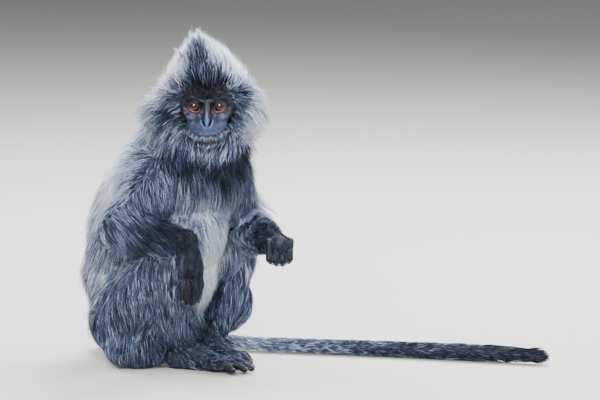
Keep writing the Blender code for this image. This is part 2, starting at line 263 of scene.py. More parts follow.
def graft(*parts):
    """Makes one closed body of the skin and these parts of it."""
    for part in parts:
        join = skin.modifiers.new("join", "BOOLEAN")
        join.operation = "UNION"
        join.solver = "MANIFOLD"
        join.object = part
    settle(skin)
    for part in parts:
        bpy.data.objects.remove(part)


# ---- The skin: hands and feet -------------------------------------------------------------------
# Long black hands and feet of bare leathery hide, with four long fingers or toes and a short thumb
# or great toe. They are cast in one with the limbs, and the knuckles and pads show.

TOES = {"right": Vector((0.164, -0.116, 0.008)), "left": Vector((0.160, -0.076, 0.008))}
# Which way the palm, the fingers and their last joints point, and which way the hand's back faces.
HAND_WAYS = {
    "right": ((0.08, -0.02, -1.0), (0.10, -0.10, -1.0), (-0.12, 0.05, -1.0), (0.55, -0.83, 0.0)),
    "left": ((0.24, -0.97, 0.0), (0.0, -0.35, -0.94), (0.0, 0.93, -0.37), (0.0, -0.12, 0.97)),
}
FINGER_REACH = {"right": 0.028, "left": 0.024}  # of each half of a finger
FINGERS = ((-0.0150, 0.90), (-0.0050, 1.0), (0.0050, 0.97), (0.0146, 0.84))  # spread, length
TOE_SPREADS = ((-0.015, -0.018), (-0.006, -0.004), (0.004, 0.0), (0.013, -0.006))  # inward, ahead

digits = []  # (knuckle, middle, tip, back), for the nails and the coat
for side in SIGN:
    wrist = WRIST[side]
    palm_way, finger_way, curl_way, back = [Vector(way).normalized() for way in HAND_WAYS[side]]
    across = palm_way.cross(back).normalized()
    palm = wrist + palm_way * 0.036
    clay = bmesh.new()
    limb(clay, [(wrist - palm_way * 0.006, 0.0118), (wrist + palm_way * 0.012, 0.0122), (palm, 0.0118)])
    for spread, length in FINGERS:
        root = wrist + palm_way * 0.014 + across * spread * 0.6
        knuckle = palm + across * spread
        bend = knuckle + finger_way * FINGER_REACH[side] * length
        tip = bend + curl_way * FINGER_REACH[side] * 0.9 * length - across * spread * 0.1
        far = bend.lerp(tip, 0.55)
        limb(
            clay,
            [
                (root, 0.0080),
                (knuckle + back * 0.002, 0.0060),
                (knuckle.lerp(bend, 0.5), 0.0043),
                (bend, 0.0048),
                (far, 0.0041),
                (tip - curl_way * 0.003, 0.0037),
            ],
        )
        digits.append((bend, far, tip, back if side == "right" else Vector((0.0, -0.37, -0.93))))
    thumb = wrist + palm_way * 0.030 + across * 0.018 * SIGN[side] - back * 0.006
    limb(clay, [(wrist + palm_way * 0.012, 0.0080), (wrist.lerp(thumb, 0.75), 0.0055), (thumb, 0.0045)])
    digits.append((wrist.lerp(thumb, 0.5), wrist.lerp(thumb, 0.75), thumb, back))
    hand = mould("hand_" + side, clay, 0.0011, 3)

    ankle, toes = ANKLE[side], TOES[side]
    ahead = ((toes - ankle) * Vector((1, 1, 0))).normalized()
    inner = ahead.cross(Vector((0, 0, 1))) * (-1 if side == "right" else 1)
    heel = Vector((ankle.x, ankle.y, 0.0150)) - ahead * 0.010
    sole = ankle.lerp(toes, 0.52) * Vector((1, 1, 0)) + Vector((0, 0, 0.0125))
    clay = bmesh.new()
    limb(clay, [(ankle, 0.0122), (heel, 0.0132), (sole, 0.0108)])
    limb(clay, [(ankle, 0.0122), (sole, 0.0108)])
    for inward, reach in TOE_SPREADS:
        knuckle = sole + inner * inward * 0.9
        tip = toes + inner * inward * 1.3 + ahead * reach
        middle = knuckle.lerp(tip, 0.55) + Vector((0, 0, 0.005))
        limb(
            clay,
            [
                (knuckle, 0.0078),
                (knuckle.lerp(middle, 0.5), 0.0056),
                (middle, 0.0057),
                (middle.lerp(tip, 0.55), 0.0046),
                (tip - ahead * 0.002, 0.0044),
            ],
        )
        digits.append((middle, middle.lerp(tip, 0.5), tip, Vector((0, 0, 1))))
    root = heel.lerp(sole, 0.7) + inner * 0.010
    great = root + inner * 0.014 + ahead * 0.030 - Vector((0, 0, 0.006))
    limb(clay, [(root, 0.0080), (root.lerp(great, 0.55) + Vector((0, 0, 0.002)), 0.0062), (great, 0.0056)])
    digits.append((root, root.lerp(great, 0.5), great, Vector((0, 0, 1))))
    foot = mould("foot_" + side, clay, 0.0011, 3)
    graft(hand, foot)

# ---- The skin: head and face --------------------------------------------------------------------
# The bare slate-blue face with its brows, hooded lids, baggy folds under the eyes, thin nose with
# slit nostrils and short rounded muzzle, on the skull with its ears. It is cast in one with the neck.

eye_boxes = {side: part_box("eye_" + side) for side in SIGN}
EYES = {side: (low + high) / 2 for side, (low, high) in eye_boxes.items()}
EYE_RADIUS = (eye_boxes["left"][1].z - eye_boxes["left"][0].z) / 2
EYE_DEPTH = 0.0090  # of an eyeball's centre behind the face's own origin
FACE = (EYES["right"] + EYES["left"]) / 2 - Vector((0.0, EYE_DEPTH, 0.0))
LID = 0.0010  # thickness of the eyelids
LID_REACH = 0.0150  # of the lids and their folds from the eyeball's centre
SOCKET = 0.0022  # depth of the hollow between the lids, which the eyeball fills


def on_face(across, deep, high):
    """A place in the face's own frame, whose origin lies between the eyes."""
    return FACE + Vector((across, deep, high))


clay = bmesh.new()
ball(clay, on_face(0.0, 0.058, 0.010), (0.036, 0.042, 0.036))
ball(clay, on_face(0.0, 0.034, -0.006), (0.034, 0.027, 0.026))
ball(clay, on_face(0.0, 0.032, -0.034), (0.026, 0.030, 0.018))
ball(clay, on_face(0.0, 0.009, -0.0300), (0.0205, 0.0225, 0.0160))
for sign in SIGN.values():
    limb(
        clay,
        [
            (on_face(sign * 0.001, 0.0040, 0.0075), 0.0060),
            (on_face(sign * 0.010, 0.0045, 0.0115), 0.0060),
            (on_face(sign * 0.020, 0.0065, 0.0145), 0.0062),
            (on_face(sign * 0.029, 0.0130, 0.0110), 0.0058),
            (on_face(sign * 0.0325, 0.0185, 0.0), 0.0055),
            (on_face(sign * 0.029, 0.0170, -0.0110), 0.0060),
        ],
    )
    ball(clay, on_face(sign * 0.0205, 0.0140, -0.0150), (0.0105, 0.0115, 0.0080))
    ball(clay, on_face(sign * 0.0165, 0.0160, -0.0260), (0.0120, 0.0150, 0.0130))
    ball(clay, on_face(sign * EYES["left"].x - sign * FACE.x, EYE_DEPTH, 0.0), EYE_RADIUS + LID)
    ball(clay, on_face(sign * 0.0050, -0.0082, -0.0215), (0.0040, 0.0050, 0.0052))
    limb(
        clay,
        [
            (on_face(0.0, -0.0080, -0.0365), 0.0062),
            (on_face(sign * 0.0085, -0.0060, -0.0360), 0.0060),
            (on_face(sign * 0.0160, 0.0020, -0.0345), 0.0060),
        ],
    )
    # The ear: a thin upright shell behind the cheek, with a rolled rim.
    ball(clay, on_face(sign * 0.0405, 0.0480, 0.0040), (0.0100, 0.0030, 0.0140), sign * 35)
    rim = []
    for turn in np.linspace(-0.3, 3.2, 9):
        outward, upward = math.sin(turn), math.cos(turn)
        across = sign * (0.0400 + 0.0110 * outward)
        rim.append((on_face(across, 0.0500 + 0.004 * outward, 0.0040 + 0.0145 * upward), 0.0018))
    limb(clay, rim)
# The nose, solid from its ridge back to the skull, and the lower lip over the chin.
limb(clay, [(on_face(0.0, 0.0025, 0.0060), 0.0046), (on_face(0.0, -0.0105, -0.0205), 0.0038)])
ball(clay, on_face(0.0, 0.0065, -0.0030), (0.0056, 0.0085, 0.0110))
ball(clay, on_face(0.0, 0.0025, -0.0125), (0.0074, 0.0100, 0.0095))
limb(clay, [(on_face(-0.009, 0.0010, -0.0455), 0.0046), (on_face(0.0, -0.0025, -0.0460), 0.0050)])
limb(clay, [(on_face(0.009, 0.0010, -0.0455), 0.0046), (on_face(0.0, -0.0025, -0.0460), 0.0050)])
ball(clay, on_face(0.0, 0.0080, -0.0455), (0.0130, 0.0130, 0.0085))
head = mould("head", clay, 0.00075, 7)


def ease(value, low, high):
    """0 below low, 1 above high, and a smooth step between."""
    share = np.clip((value - low) / (high - low), 0.0, 1.0)
    return share * share * (3.0 - 2.0 * share)


def near(places, path, width):
    """How close places lie to a line drawn on the face, 1 on it and 0 well away from it."""
    flat = np.stack((np.abs(places[:, 0]), places[:, 2]), axis=1)
    gap = np.full(len(places), 1.0)
    for start, end in zip(path, path[1:]):
        run = np.subtract(end, start)
        share = np.clip((flat - start) @ run / (run @ run), 0.0, 1.0)
        gap = np.minimum(gap, np.linalg.norm(flat - start - share[:, None] * run, axis=1))
    return np.exp(-((gap / width) ** 2))


# Lines on one half of the face, as (across, high) from its origin.
BROW_LINE = ((0.0, 0.0058), (0.0095, 0.0088), (0.0195, 0.0140), (0.0280, 0.0115))
LID_GROOVE = ((0.0070, 0.0030), (0.0120, 0.0078), (0.0190, 0.0090), (0.0265, 0.0050))
FOLD_HIGH = ((0.0085, -0.0070), (0.0145, -0.0094), (0.0205, -0.0086), (0.0262, -0.0044))
FOLD_MIDDLE = ((0.0095, -0.0100), (0.0150, -0.0124), (0.0220, -0.0114), (0.0285, -0.0060))
FOLD_LOW = ((0.0120, -0.0140), (0.0180, -0.0152), (0.0245, -0.0132), (0.0305, -0.0075))
GOGGLE_EDGE = ((0.0140, -0.0185), (0.0220, -0.0195), (0.0300, -0.0155), (0.0345, -0.0080), (0.0350, 0.0010))
NOSE_SIDE = ((0.0064, -0.0030), (0.0054, -0.0090), (0.0062, -0.0150))
NOSE_RIDGE = ((0.0, -0.0070), (0.0, -0.0150))
NOSE_TIP = ((0.0, -0.0175), (0.0, -0.0235))
NOSTRIL = ((0.0056, -0.0168), (0.0047, -0.0204), (0.0030, -0.0238))
NOSTRIL_RIM = ((0.0080, -0.0172), (0.0072, -0.0220), (0.0042, -0.0262))
CHEEK_FOLD = ((0.0105, -0.0170), (0.0150, -0.0235), (0.0185, -0.0305), (0.0195, -0.0380))
MOUTH = ((0.0, -0.0432), (0.0100, -0.0428), (0.0160, -0.0410))
LOWER_LIP = ((0.0, -0.0456), (0.0120, -0.0446))
FROWN = ((0.0024, 0.0010), (0.0030, 0.0062))
# How far each line is raised or, below 0, sunk, and how wide it is.
FOLDS = (
    (BROW_LINE, 0.0010, 0.0022),
    (LID_GROOVE, -0.0016, 0.0017),
    (FOLD_HIGH, -0.0015, 0.0007),
    (FOLD_MIDDLE, -0.0014, 0.0008),
    (FOLD_LOW, -0.0012, 0.0010),
    (GOGGLE_EDGE, -0.0004, 0.0018),
    (NOSE_SIDE, -0.0014, 0.0016),
    (NOSE_TIP, 0.0012, 0.0022),
    (NOSTRIL, -0.0036, 0.0011),
    (NOSTRIL_RIM, 0.0009, 0.0009),
    (CHEEK_FOLD, -0.0005, 0.0020),
    (MOUTH, -0.0020, 0.0009),
    (LOWER_LIP, 0.0008, 0.0014),
    (FROWN, -0.0006, 0.0007),
)


def eye_opening(places, eye):
    """How far places lie inside the opening between the lids, in metres, from the eye's centre."""
    out = (places[:, 0] - eye[0]) * np.sign(eye[0] - FACE.x)
    high = places[:, 2] - eye[2]
    share = np.clip((out + 0.0080) / 0.0147, 0.0, 1.0)
    corner_line = -0.0040 + share * 0.0042
    bow = np.sqrt(np.clip(4.0 * share * (1.0 - share), 0.0, 1.0)) ** 1.3
    return np.minimum(corner_line + bow * 0.0058 - high, high - corner_line + bow * 0.0044)


def vertex_rows(mesh, what="co"):
    """A mesh's vertices or their normals as rows of an array."""
    rows = np.empty(len(mesh.vertices) * 3, np.float32)
    if what == "co":
        mesh.vertices.foreach_get("co", rows)
    else:
        mesh.vertex_normals.foreach_get("vector", rows)
    return rows.reshape(-1, 3).astype(float)


places = vertex_rows(head.data)
normals = vertex_rows(head.data, "normal")
local = places - np.array(FACE)
in_front = 1.0 - ease(local[:, 1], 0.018, 0.028)
for path, height, width in FOLDS:
    places += normals * (near(local, path, width) * in_front * height)[:, None]
for eye in EYES.values():
    eye = np.array(eye)
    out = places - eye
    away = np.linalg.norm(out, axis=1)
    out /= away[:, None]
    facing = ease(-out[:, 1], 0.30, 0.50) * (away < LID_REACH)
    on_lid = eye + out * (EYE_RADIUS + LID)
    inside = eye_opening(on_lid, eye)
    opening = ease(inside, -0.0002, 0.0005) * facing
    rim = np.exp(-(((inside + 0.0007) / 0.0007) ** 2)) * facing
    lids = np.maximum(away, EYE_RADIUS + LID * 0.8) + rim * 0.0004
    depth = lids * (1.0 - opening) + (EYE_RADIUS - SOCKET) * opening
    depth = np.maximum(away, EYE_RADIUS + LID * 0.6) * (1.0 - facing) + depth * facing
    places = eye + out * depth[:, None]
head.data.vertices.foreach_set("co", places.astype(np.float32).ravel())
head.data.update()
graft(head)

# ---- The markings -------------------------------------------------------------------------------
# The coat's pattern over the body, one for skin and hair: a black wedge over the brows, a silver cap,
# mantle and back, dark throat and arms, whitish belly, black hands and feet, and a tail that darkens.

# Light and shade are painted into these markings in places too, each noted where it is painted.
tail_line = vertex_rows(route_line("route", False))[::3]
# Every part of the body as (kind, start, end, start radius, end radius), away from the head.
BONES = [("trunk", Vector((0.074, -0.055, 0.262)), Vector((0.004, -0.004, 0.058)), 0.062, 0.054)]
BONES.append(("head", on_face(0.0, 0.052, 0.012), on_face(0.0, 0.024, -0.012), 0.040, 0.030))
for side in SIGN:
    palm_way, finger_way = Vector(HAND_WAYS[side][0]), Vector(HAND_WAYS[side][1])
    knuckles = WRIST[side] + palm_way.normalized() * 0.036
    fingertips = knuckles + finger_way.normalized() * 0.050
    BONES.append(("upper_arm", SHOULDER[side], ELBOW[side], 0.026, 0.018))
    BONES.append(("forearm", ELBOW[side], WRIST[side], 0.0185, 0.0115))
    BONES.append(("hand", WRIST[side], knuckles, 0.012, 0.016))
    BONES.append(("hand", knuckles, fingertips, 0.014, 0.010))
    BONES.append(("thigh", HIP[side], KNEE[side], 0.036, 0.020))
    BONES.append(("shin", KNEE[side], ANKLE[side], 0.019, 0.013))
    BONES.append(("foot", ANKLE[side], TOES[side], 0.013, 0.010))
for start, end in zip(tail_line, tail_line[1:]):
    BONES.append(("tail", Vector(start), Vector(end), 0.008, 0.008))
KINDS = ("trunk", "head", "upper_arm", "forearm", "hand", "thigh", "shin", "foot", "tail")
ROWS_OF = {kind: [row for row, bone in enumerate(BONES) if bone[0] == kind] for kind in KINDS}
# How far the hair hangs down rather than lying along the bone.
HANG = {"thigh": 1.0, "trunk": 0.85, "upper_arm": 0.55, "shin": 0.3}
HANGING = np.array((-0.06, 0.0, -1.0))
FRONT = np.array((math.sin(math.radians(50)), -math.cos(math.radians(50)), 0.0))  # of the trunk


def body_parts(places):
    """For each place, the weight of each bone, the share along it, and its lie as a direction."""
    weights = np.empty((len(BONES), len(places)))
    shares = np.empty((len(BONES), len(places)))
    ways = np.empty((len(BONES), 3))
    for row, (kind, start, end, start_radius, end_radius) in enumerate(BONES):
        start, run = np.array(start), np.array(end - start)
        share = np.clip((places - start) @ run / (run @ run), 0.0, 1.0)
        gap = np.linalg.norm(places - start - share[:, None] * run, axis=1)
        gap -= start_radius + (end_radius - start_radius) * share
        weights[row] = np.exp(-np.maximum(gap, -0.004) / 0.006)
        shares[row] = share
        ways[row] = run / np.linalg.norm(run) * (1.0 - HANG.get(kind, 0.0)) + HANG.get(kind, 0.0) * HANGING
    weights /= weights.sum(axis=0) + 1e-12
    return weights, shares, ways


def kind_weights(weights):
    """The bones' weights added up by kind."""
    return {kind: weights[ROWS_OF[kind]].sum(axis=0) for kind in KINDS}


def along_kinds(weights, shares, kinds):
    """How far along the bones of each kind places lie, from 0 to 1, and along the tail as a whole."""
    along = {kind: (weights[rows] * shares[rows]).sum(axis=0) for kind, rows in ROWS_OF.items()}
    steps = np.linspace(0.0, 1.0, len(ROWS_OF["tail"]))[:, None]
    along["tail"] = (weights[ROWS_OF["tail"]] * steps).sum(axis=0)
    return {kind: along[kind] / (kinds[kind] + 1e-9) for kind in KINDS}


def rows_from(across, deep, high):
    """Places or ways as rows, from three parts that are each a number or one number for each row."""
    return np.stack(np.broadcast_arrays(across, deep, high), axis=1)


def unit(rows, guard=0.0):
    """Rows brought to length 1. The guard keeps rows without length from failing."""
    return rows / (np.linalg.norm(rows, axis=1)[:, None] + guard)


def square_to(rows, normals):
    """What is left of each row once the part along its normal is taken off."""
    return rows - np.einsum("ij,ij->i", rows, normals)[:, None] * normals


def mix(base, other, share):
    """Rows between base and other, by a share for each row."""
    share = share[:, None]
    return base * (1 - share) + other * share


MASK_HEIGHTS = (-0.0375, -0.0360, -0.0325, -0.0280, -0.0200, -0.0100, 0.0, 0.0080, 0.0150)
MASK_WIDTHS = (0.0, 0.0135, 0.0205, 0.0240, 0.0298, 0.0342, 0.0354, 0.0330, 0.0255)  # half of it


def mask_edge(local):
    """How far places lie outside the bare mask of the face, or inside it below 0."""
    across, high = np.abs(local[:, 0]), local[:, 2]
    width = np.interp(high, MASK_HEIGHTS, MASK_WIDTHS)
    brow = high - np.interp(across, (0.0, 0.0095, 0.0195, 0.0300), (0.0065, 0.0100, 0.0145, 0.0110))
    return np.maximum(across - width, brow)


def face_bareness(places):
    """1 on the bare mask of the face and 0 in the coat round it."""
    local = places - np.array(FACE)
    across, deep, high = np.abs(local[:, 0]), local[:, 1], local[:, 2]
    edge = mask_edge(local)
    lips = (np.hypot(across / 0.0165, (high + 0.0438) / 0.0027) - 1.0) * 0.004
    edge = np.minimum(edge, lips)
    return (1.0 - ease(edge, -0.0010, 0.0012)) * (1.0 - ease(deep, 0.024, 0.030))


# Tones down the front and the back of the trunk, from the floor up.
CHEST_LEVELS = (0.045, 0.075, 0.110, 0.150, 0.180, 0.205, 0.230, 0.254, 0.290)
CHEST_TONES = (0.30, 0.82, 1.20, 1.12, 0.93, 0.74, 0.56, 0.19, 0.06)
BACK_LEVELS = (0.02, 0.07, 0.12, 0.17, 0.22, 0.27, 0.31)
# The dip at 0.17 is a band of painted shade round the back, for the shade under the right elbow.
BACK_TONES_AND_SHADE = (0.12, 0.26, 0.42, 0.28, 0.46, 0.58, 0.34)


def head_silver(local):
    """How silver the hair of the head is at places in the face's own frame, with painted backlight on some
    edges.
    """
    across, deep, high = local[:, 0], local[:, 1], local[:, 2]
    # The black wedge over the brows runs up into the crest, whose tip leans to the animal's right.
    wide = np.abs(across - np.interp(high, (0.030, 0.042, 0.053), (-0.001, -0.003, -0.010)))
    half_width = np.interp(
        high, (0.004, 0.014, 0.024, 0.034, 0.050, 0.070), (0.024, 0.032, 0.030, 0.022, 0.012, 0.005)
    )
    wedge = (1.0 - ease(wide, half_width - 0.006, half_width + 0.007)) * ease(high, 0.002, 0.006)
    wedge *= np.interp(high, (0.022, 0.032, 0.040, 0.066, 0.084), (1.0, 0.72, 0.66, 0.55, 0.15))
    pale_from = np.interp(high, (0.030, 0.042, 0.053, 0.064, 0.075), (0.022, 0.022, 0.015, 0.008, 0.005))
    # The cap pales to its sides and at the crest's tip: silver hair, with painted backlight on these edges.
    cap = 0.28 + 0.42 * ease(wide, pale_from - 0.002, pale_from + 0.020) * ease(high, 0.020, 0.038)
    cap += 0.40 * ease(high, 0.076, 0.096)
    # The cheeks are dark by the mask and silver at the edge of the ruff, which on the left is painted nearer
    # to the mask as backlight.
    cheek = np.interp(high, (-0.050, -0.020, 0.006, 0.024), (0.30, 0.13, 0.11, 0.17))
    right_rim = np.interp(
        high, (-0.03, -0.014, -0.003, 0.008, 0.019, 0.030), (0.078, 0.071, 0.064, 0.056, 0.045, 0.036)
    )
    cheek += 0.44 * ease(across, 0.036, 0.062) + 0.38 * ease(-across - right_rim, -0.008, 0.010)
    fringe = np.exp(-(((mask_edge(local) - 0.0030) / 0.0030) ** 2)) * ease(high, -0.024, -0.008)
    cheek += 0.09 * fringe * (1.0 - ease(high, 0.010, 0.016))
    beard = np.interp(-high, (0.044, 0.050, 0.060, 0.076), (0.14, 0.18, 0.34, 0.08))
    up = ease(high, 0.014, 0.030)
    down = ease(-high, 0.036, 0.048) * (1.0 - ease(np.abs(across), 0.020, 0.045))
    tone = up * cap + (1 - up) * cheek
    tone = tone * (1 - down) + beard * down
    tone *= 1.0 - wedge * 0.97
    rear = ease(deep, 0.052, 0.074)  # the back of the head is silver like the mantle
    return tone * (1 - rear) + 0.54 * rear


def trunk_silver(places):
    """How silver the hair of the trunk is: dark at the throat, whitish on the belly, silver behind, with a
    band of painted shade there.
    """
    wobble = np.sin(places[:, 0] * 170.0 + 2.0 * np.sin(places[:, 2] * 120.0)) * 0.012
    level = places[:, 2] + wobble
    middle_x = np.interp(places[:, 2], (0.25, 0.30), (0.034, 0.062))
    middle_y = np.interp(places[:, 2], (0.25, 0.30), (-0.032, -0.058))
    away = rows_from(places[:, 0] - middle_x, places[:, 1] - middle_y, 0.0)
    facing = (away @ FRONT) / (np.linalg.norm(away, axis=1) + 1e-6)
    front = ease(facing, -0.05, 0.65) * (0.2 + 0.8 * ease(places[:, 0], -0.004, 0.036))
    chest = np.interp(level, CHEST_LEVELS, CHEST_TONES)
    behind = np.interp(level, BACK_LEVELS, BACK_TONES_AND_SHADE)
    chest *= 1.0 - 0.30 * ease(places[:, 0], 0.095, 0.125) * ease(level, 0.15, 0.20)
    return front * chest + (1 - front) * behind


def silver(places):
    """How silver the coat is, from 0 for black to 1 for white, at these places on the skin, with painted
    light and shade in places.
    """
    weights, shares, _ = body_parts(places)
    kinds = kind_weights(weights)
    along = along_kinds(weights, shares, kinds)
    left = ease(places[:, 0], 0.09, 0.15)  # the left limbs are painted paler: light painted where they lie in shade
    # The right upper arm is painted darker towards its front, as shade under the arm.
    outer_arm = (0.78 - 0.42 * along["upper_arm"]) * (1.0 - 0.55 * ease(places[:, 0], -0.020, 0.016))
    tones = {
        "trunk": trunk_silver(places),
        "head": head_silver(places - np.array(FACE)),
        # The left upper arm pales towards the elbow as painted backlight.
        "upper_arm": (1.0 - left) * outer_arm + left * (0.24 + 0.44 * along["upper_arm"]),
        "forearm": np.interp(along["forearm"], (0.0, 0.3, 1.0), (0.17, 0.11, 0.06)) * (1.0 + 1.6 * left),
        "hand": 0.09 + 0.07 * left,
        "thigh": 0.28 + 0.14 * left,
        "shin": 0.33 - 0.12 * along["shin"],
        "foot": 0.24,
        "tail": np.interp(along["tail"], (0.0, 0.45, 0.60, 0.75, 1.0), (0.64, 0.60, 0.38, 0.20, 0.11)),
    }
    return np.clip(sum(kinds[kind] * tones[kind] for kind in KINDS), 0.0, 1.0)


# From black through slate-blue to silver and white: red, green and blue at these steps.
SILVER_STEPS = (0.0, 0.12, 0.25, 0.50, 0.75, 1.0)
SILVER_COLOURS = (
    (0.004, 0.0140, 0.0380, 0.130, 0.370, 0.960),
    (0.005, 0.0165, 0.0460, 0.172, 0.480, 0.980),
    (0.007, 0.0255, 0.0840, 0.320, 0.740, 1.000),
)


def hair_colour(tone):
    """The colour of hair of this much silver, as rows of red, green and blue."""
    return np.stack([np.interp(tone, SILVER_STEPS, channel) for channel in SILVER_COLOURS], axis=-1)


SLATE = np.array((0.028, 0.032, 0.056))
EYE_BAG = ((0.0095, -0.0085), (0.0150, -0.0108), (0.0215, -0.0100), (0.0270, -0.0055))
ORBIT = ((0.0080, 0.0040), (0.0150, 0.0085), (0.0240, 0.0075), (0.0295, 0.0010), (0.0300, -0.0045))
# Colours painted on the face, as (colour, line, width, strength).
SKIN_PAINT = (
    ((0.033, 0.044, 0.096), ((0.0, -0.0290), (0.0120, -0.0300)), 0.0120, 0.95),
    ((0.068, 0.088, 0.200), ((0.0180, -0.0150), (0.0250, -0.0125)), 0.0042, 0.90),
    ((0.060, 0.078, 0.165), ((0.0100, -0.0150), (0.0180, -0.0210)), 0.0048, 0.70),
    ((0.012, 0.010, 0.012), ORBIT, 0.0052, 0.92),
    ((0.026, 0.020, 0.024), ((0.0028, 0.0010), (0.0045, -0.0080)), 0.0034, 0.85),
    ((0.190, 0.105, 0.130), EYE_BAG, 0.0022, 0.70),
    ((0.160, 0.130, 0.190), ((0.0110, -0.0120), (0.0170, -0.0138), (0.0235, -0.0124)), 0.0012, 0.75),
    # The dark lines in the three sunk folds under the eyes are painted shade in these creases.
    ((0.040, 0.020, 0.026), FOLD_HIGH, 0.0009, 0.85),
    ((0.040, 0.022, 0.030), FOLD_MIDDLE, 0.0009, 0.80),
    ((0.030, 0.030, 0.044), FOLD_LOW, 0.0011, 0.75),
    ((0.013, 0.013, 0.018), GOGGLE_EDGE, 0.0024, 0.85),
    ((0.020, 0.016, 0.019), NOSE_SIDE, 0.0027, 0.85),
    # The dark line in the sunk cheek fold is painted shade in the crease.
    ((0.040, 0.046, 0.075), CHEEK_FOLD, 0.0016, 0.40),
    ((0.090, 0.115, 0.185), ((0.0, 0.0062), (0.0095, 0.0090), (0.0195, 0.0142)), 0.0013, 0.60),
    ((0.080, 0.118, 0.260), NOSE_RIDGE, 0.0013, 0.90),
    ((0.085, 0.128, 0.280), NOSE_TIP, 0.0026, 0.95),
    ((0.150, 0.200, 0.350), NOSTRIL_RIM, 0.0010, 0.85),
    # The nostril slits are painted near black as shade in them.
    ((0.003, 0.003, 0.004), NOSTRIL, 0.0016, 1.00),
    ((0.150, 0.110, 0.100), ((0.0, -0.0405), (0.0110, -0.0395)), 0.0016, 0.60),
    ((0.070, 0.050, 0.046), LOWER_LIP, 0.0028, 0.85),
    # The mouth line is painted near black as shade between the lips.
    ((0.010, 0.008, 0.009), MOUTH, 0.0010, 1.00),
)
LID_EDGE = np.array((0.180, 0.140, 0.180))
LID_HIDE = np.array((0.014, 0.011, 0.013))
SOCKET_HIDE = np.array((0.02, 0.010, 0.010))
PER_LIMB = 5  # fingers or toes


def digits_outside_painted_shade(places):
    """1 along the fingers and toes and beyond them, and 0 in the grooves between them, where shade is
    painted.
    """
    gaps = []
    for knuckle, _, tip, _ in digits:
        start, run = np.array(knuckle), np.array(tip - knuckle)
        share = np.clip((places - start) @ run / (run @ run), -0.9, 1.0)
        gaps.append(np.linalg.norm(places - start - share[:, None] * run, axis=1))
    gaps = np.sort(np.array(gaps).reshape(-1, PER_LIMB, len(places)), axis=1)
    between = (gaps[:, 1] - gaps[:, 0]).min(axis=0)
    return np.maximum(ease(between, 0.0004, 0.0026), ease(gaps[:, 0].min(axis=0), 0.012, 0.020))


def skin_colour(places):
    """The hide's colour under the coat and on the bare face, hands and feet."""
    weights, _, _ = body_parts(places)
    kinds = kind_weights(weights)
    bare = face_bareness(places)
    under = hair_colour(silver(places) * 0.55)
    # The black hide of hands and feet is darkened in the grooves between the digits: painted shade.
    black = np.array((0.009, 0.013, 0.024)) * (0.15 + 0.85 * digits_outside_painted_shade(places))[:, None]
    under = mix(under, black, np.clip(kinds["hand"] + kinds["foot"], 0.0, 1.0))
    face = np.tile(SLATE, (len(places), 1))
    local = places - np.array(FACE)
    for colour, path, width, strength in SKIN_PAINT:
        face = mix(face, np.array(colour), near(local, path, width) * strength)
    on_face_rows = np.flatnonzero(bare > 0.01)
    blotch = np.ones(len(places))
    for size, depth in ((380.0, 0.50), (1100.0, 0.90)):
        blotch[on_face_rows] += [noise.noise(Vector(place) * size) * depth for place in places[on_face_rows]]
    face = face * (0.72, 0.77, 0.84) * np.clip(blotch, 0.2, 2.2)[:, None]
    shaded = ease(mask_edge(local), -0.0052, -0.0012) * ease(local[:, 2], -0.024, -0.012)
    face = face * (1.0 - 0.62 * shaded)[:, None]
    for eye in EYES.values():
        out = places - np.array(eye)
        away = np.linalg.norm(out, axis=1)
        out = out / away[:, None]
        inside = eye_opening(np.array(eye) + out * (EYE_RADIUS + LID), np.array(eye))
        lower = ease(-out[:, 2], 0.0, 0.3)
        rim = np.exp(-(((inside + 0.0006) / 0.0006) ** 2)) * (away < 0.013) * (out[:, 1] < -0.3)
        lid = ease(inside, -0.0065, -0.0030) * (away < 0.0135) * (out[:, 1] < -0.3) * (1.0 - lower)
        face = mix(face, LID_HIDE, lid * 0.85)
        face = mix(face, LID_EDGE, rim * (0.06 + 0.56 * lower))
        face = mix(face, SOCKET_HIDE, ease(inside, 0.0, 0.0008) * (away < EYE_RADIUS))
    return mix(under, face, bare)


def paint(mesh, name, colours):
    """Stores a colour for each vertex, which the material reads."""
    layer = mesh.color_attributes.new(name, "FLOAT_COLOR", "POINT")
    rows = np.ones((len(colours), 4), np.float32)
    rows[:, :3] = colours
    layer.data.foreach_set("color", rows.ravel())


def new_group(name, inputs, outputs):
    """A shader node group with named inputs and outputs, as (name, kind, value)."""
    group = bpy.data.node_groups.new(name, "ShaderNodeTree")
    for label, kind, value in inputs:
        made = group.interface.new_socket(label, in_out="INPUT", socket_type=kind)
        made.default_value = value
    for label, kind in outputs:
        group.interface.new_socket(label, in_out="OUTPUT", socket_type=kind)
    entry = group.nodes.new("NodeGroupInput")
    leave = group.nodes.new("NodeGroupOutput")
    return group, entry, leave


# Small blotches and grain that vary a painted colour, and the height that goes with them.
mottle, mottle_in, mottle_out = new_group(
    "hide_grain",
    (
        ("Color", "NodeSocketColor", (0.5, 0.5, 0.5, 1.0)),
        ("Size", "NodeSocketFloat", 300.0),
        ("Amount", "NodeSocketFloat", 0.3),
    ),
    (("Color", "NodeSocketColor"), ("Height", "NodeSocketFloat")),
)
spot = mottle.nodes.new("ShaderNodeTexCoord")
grain = mottle.nodes.new("ShaderNodeTexNoise")
grain.inputs["Detail"].default_value = 4.0
grain.inputs["Roughness"].default_value = 0.65
mottle.links.new(spot.outputs["Object"], grain.inputs["Vector"])
mottle.links.new(mottle_in.outputs["Size"], grain.inputs["Scale"])
shift = mottle.nodes.new("ShaderNodeMath")
shift.operation = "MULTIPLY_ADD"
mottle.links.new(grain.outputs["Fac"], shift.inputs[0])
mottle.links.new(mottle_in.outputs["Amount"], shift.inputs[1])
even = mottle.nodes.new("ShaderNodeMath")
even.operation = "MULTIPLY_ADD"
mottle.links.new(mottle_in.outputs["Amount"], even.inputs[0])
even.inputs[1].default_value = -0.5
even.inputs[2].default_value = 1.0
mottle.links.new(even.outputs[0], shift.inputs[2])
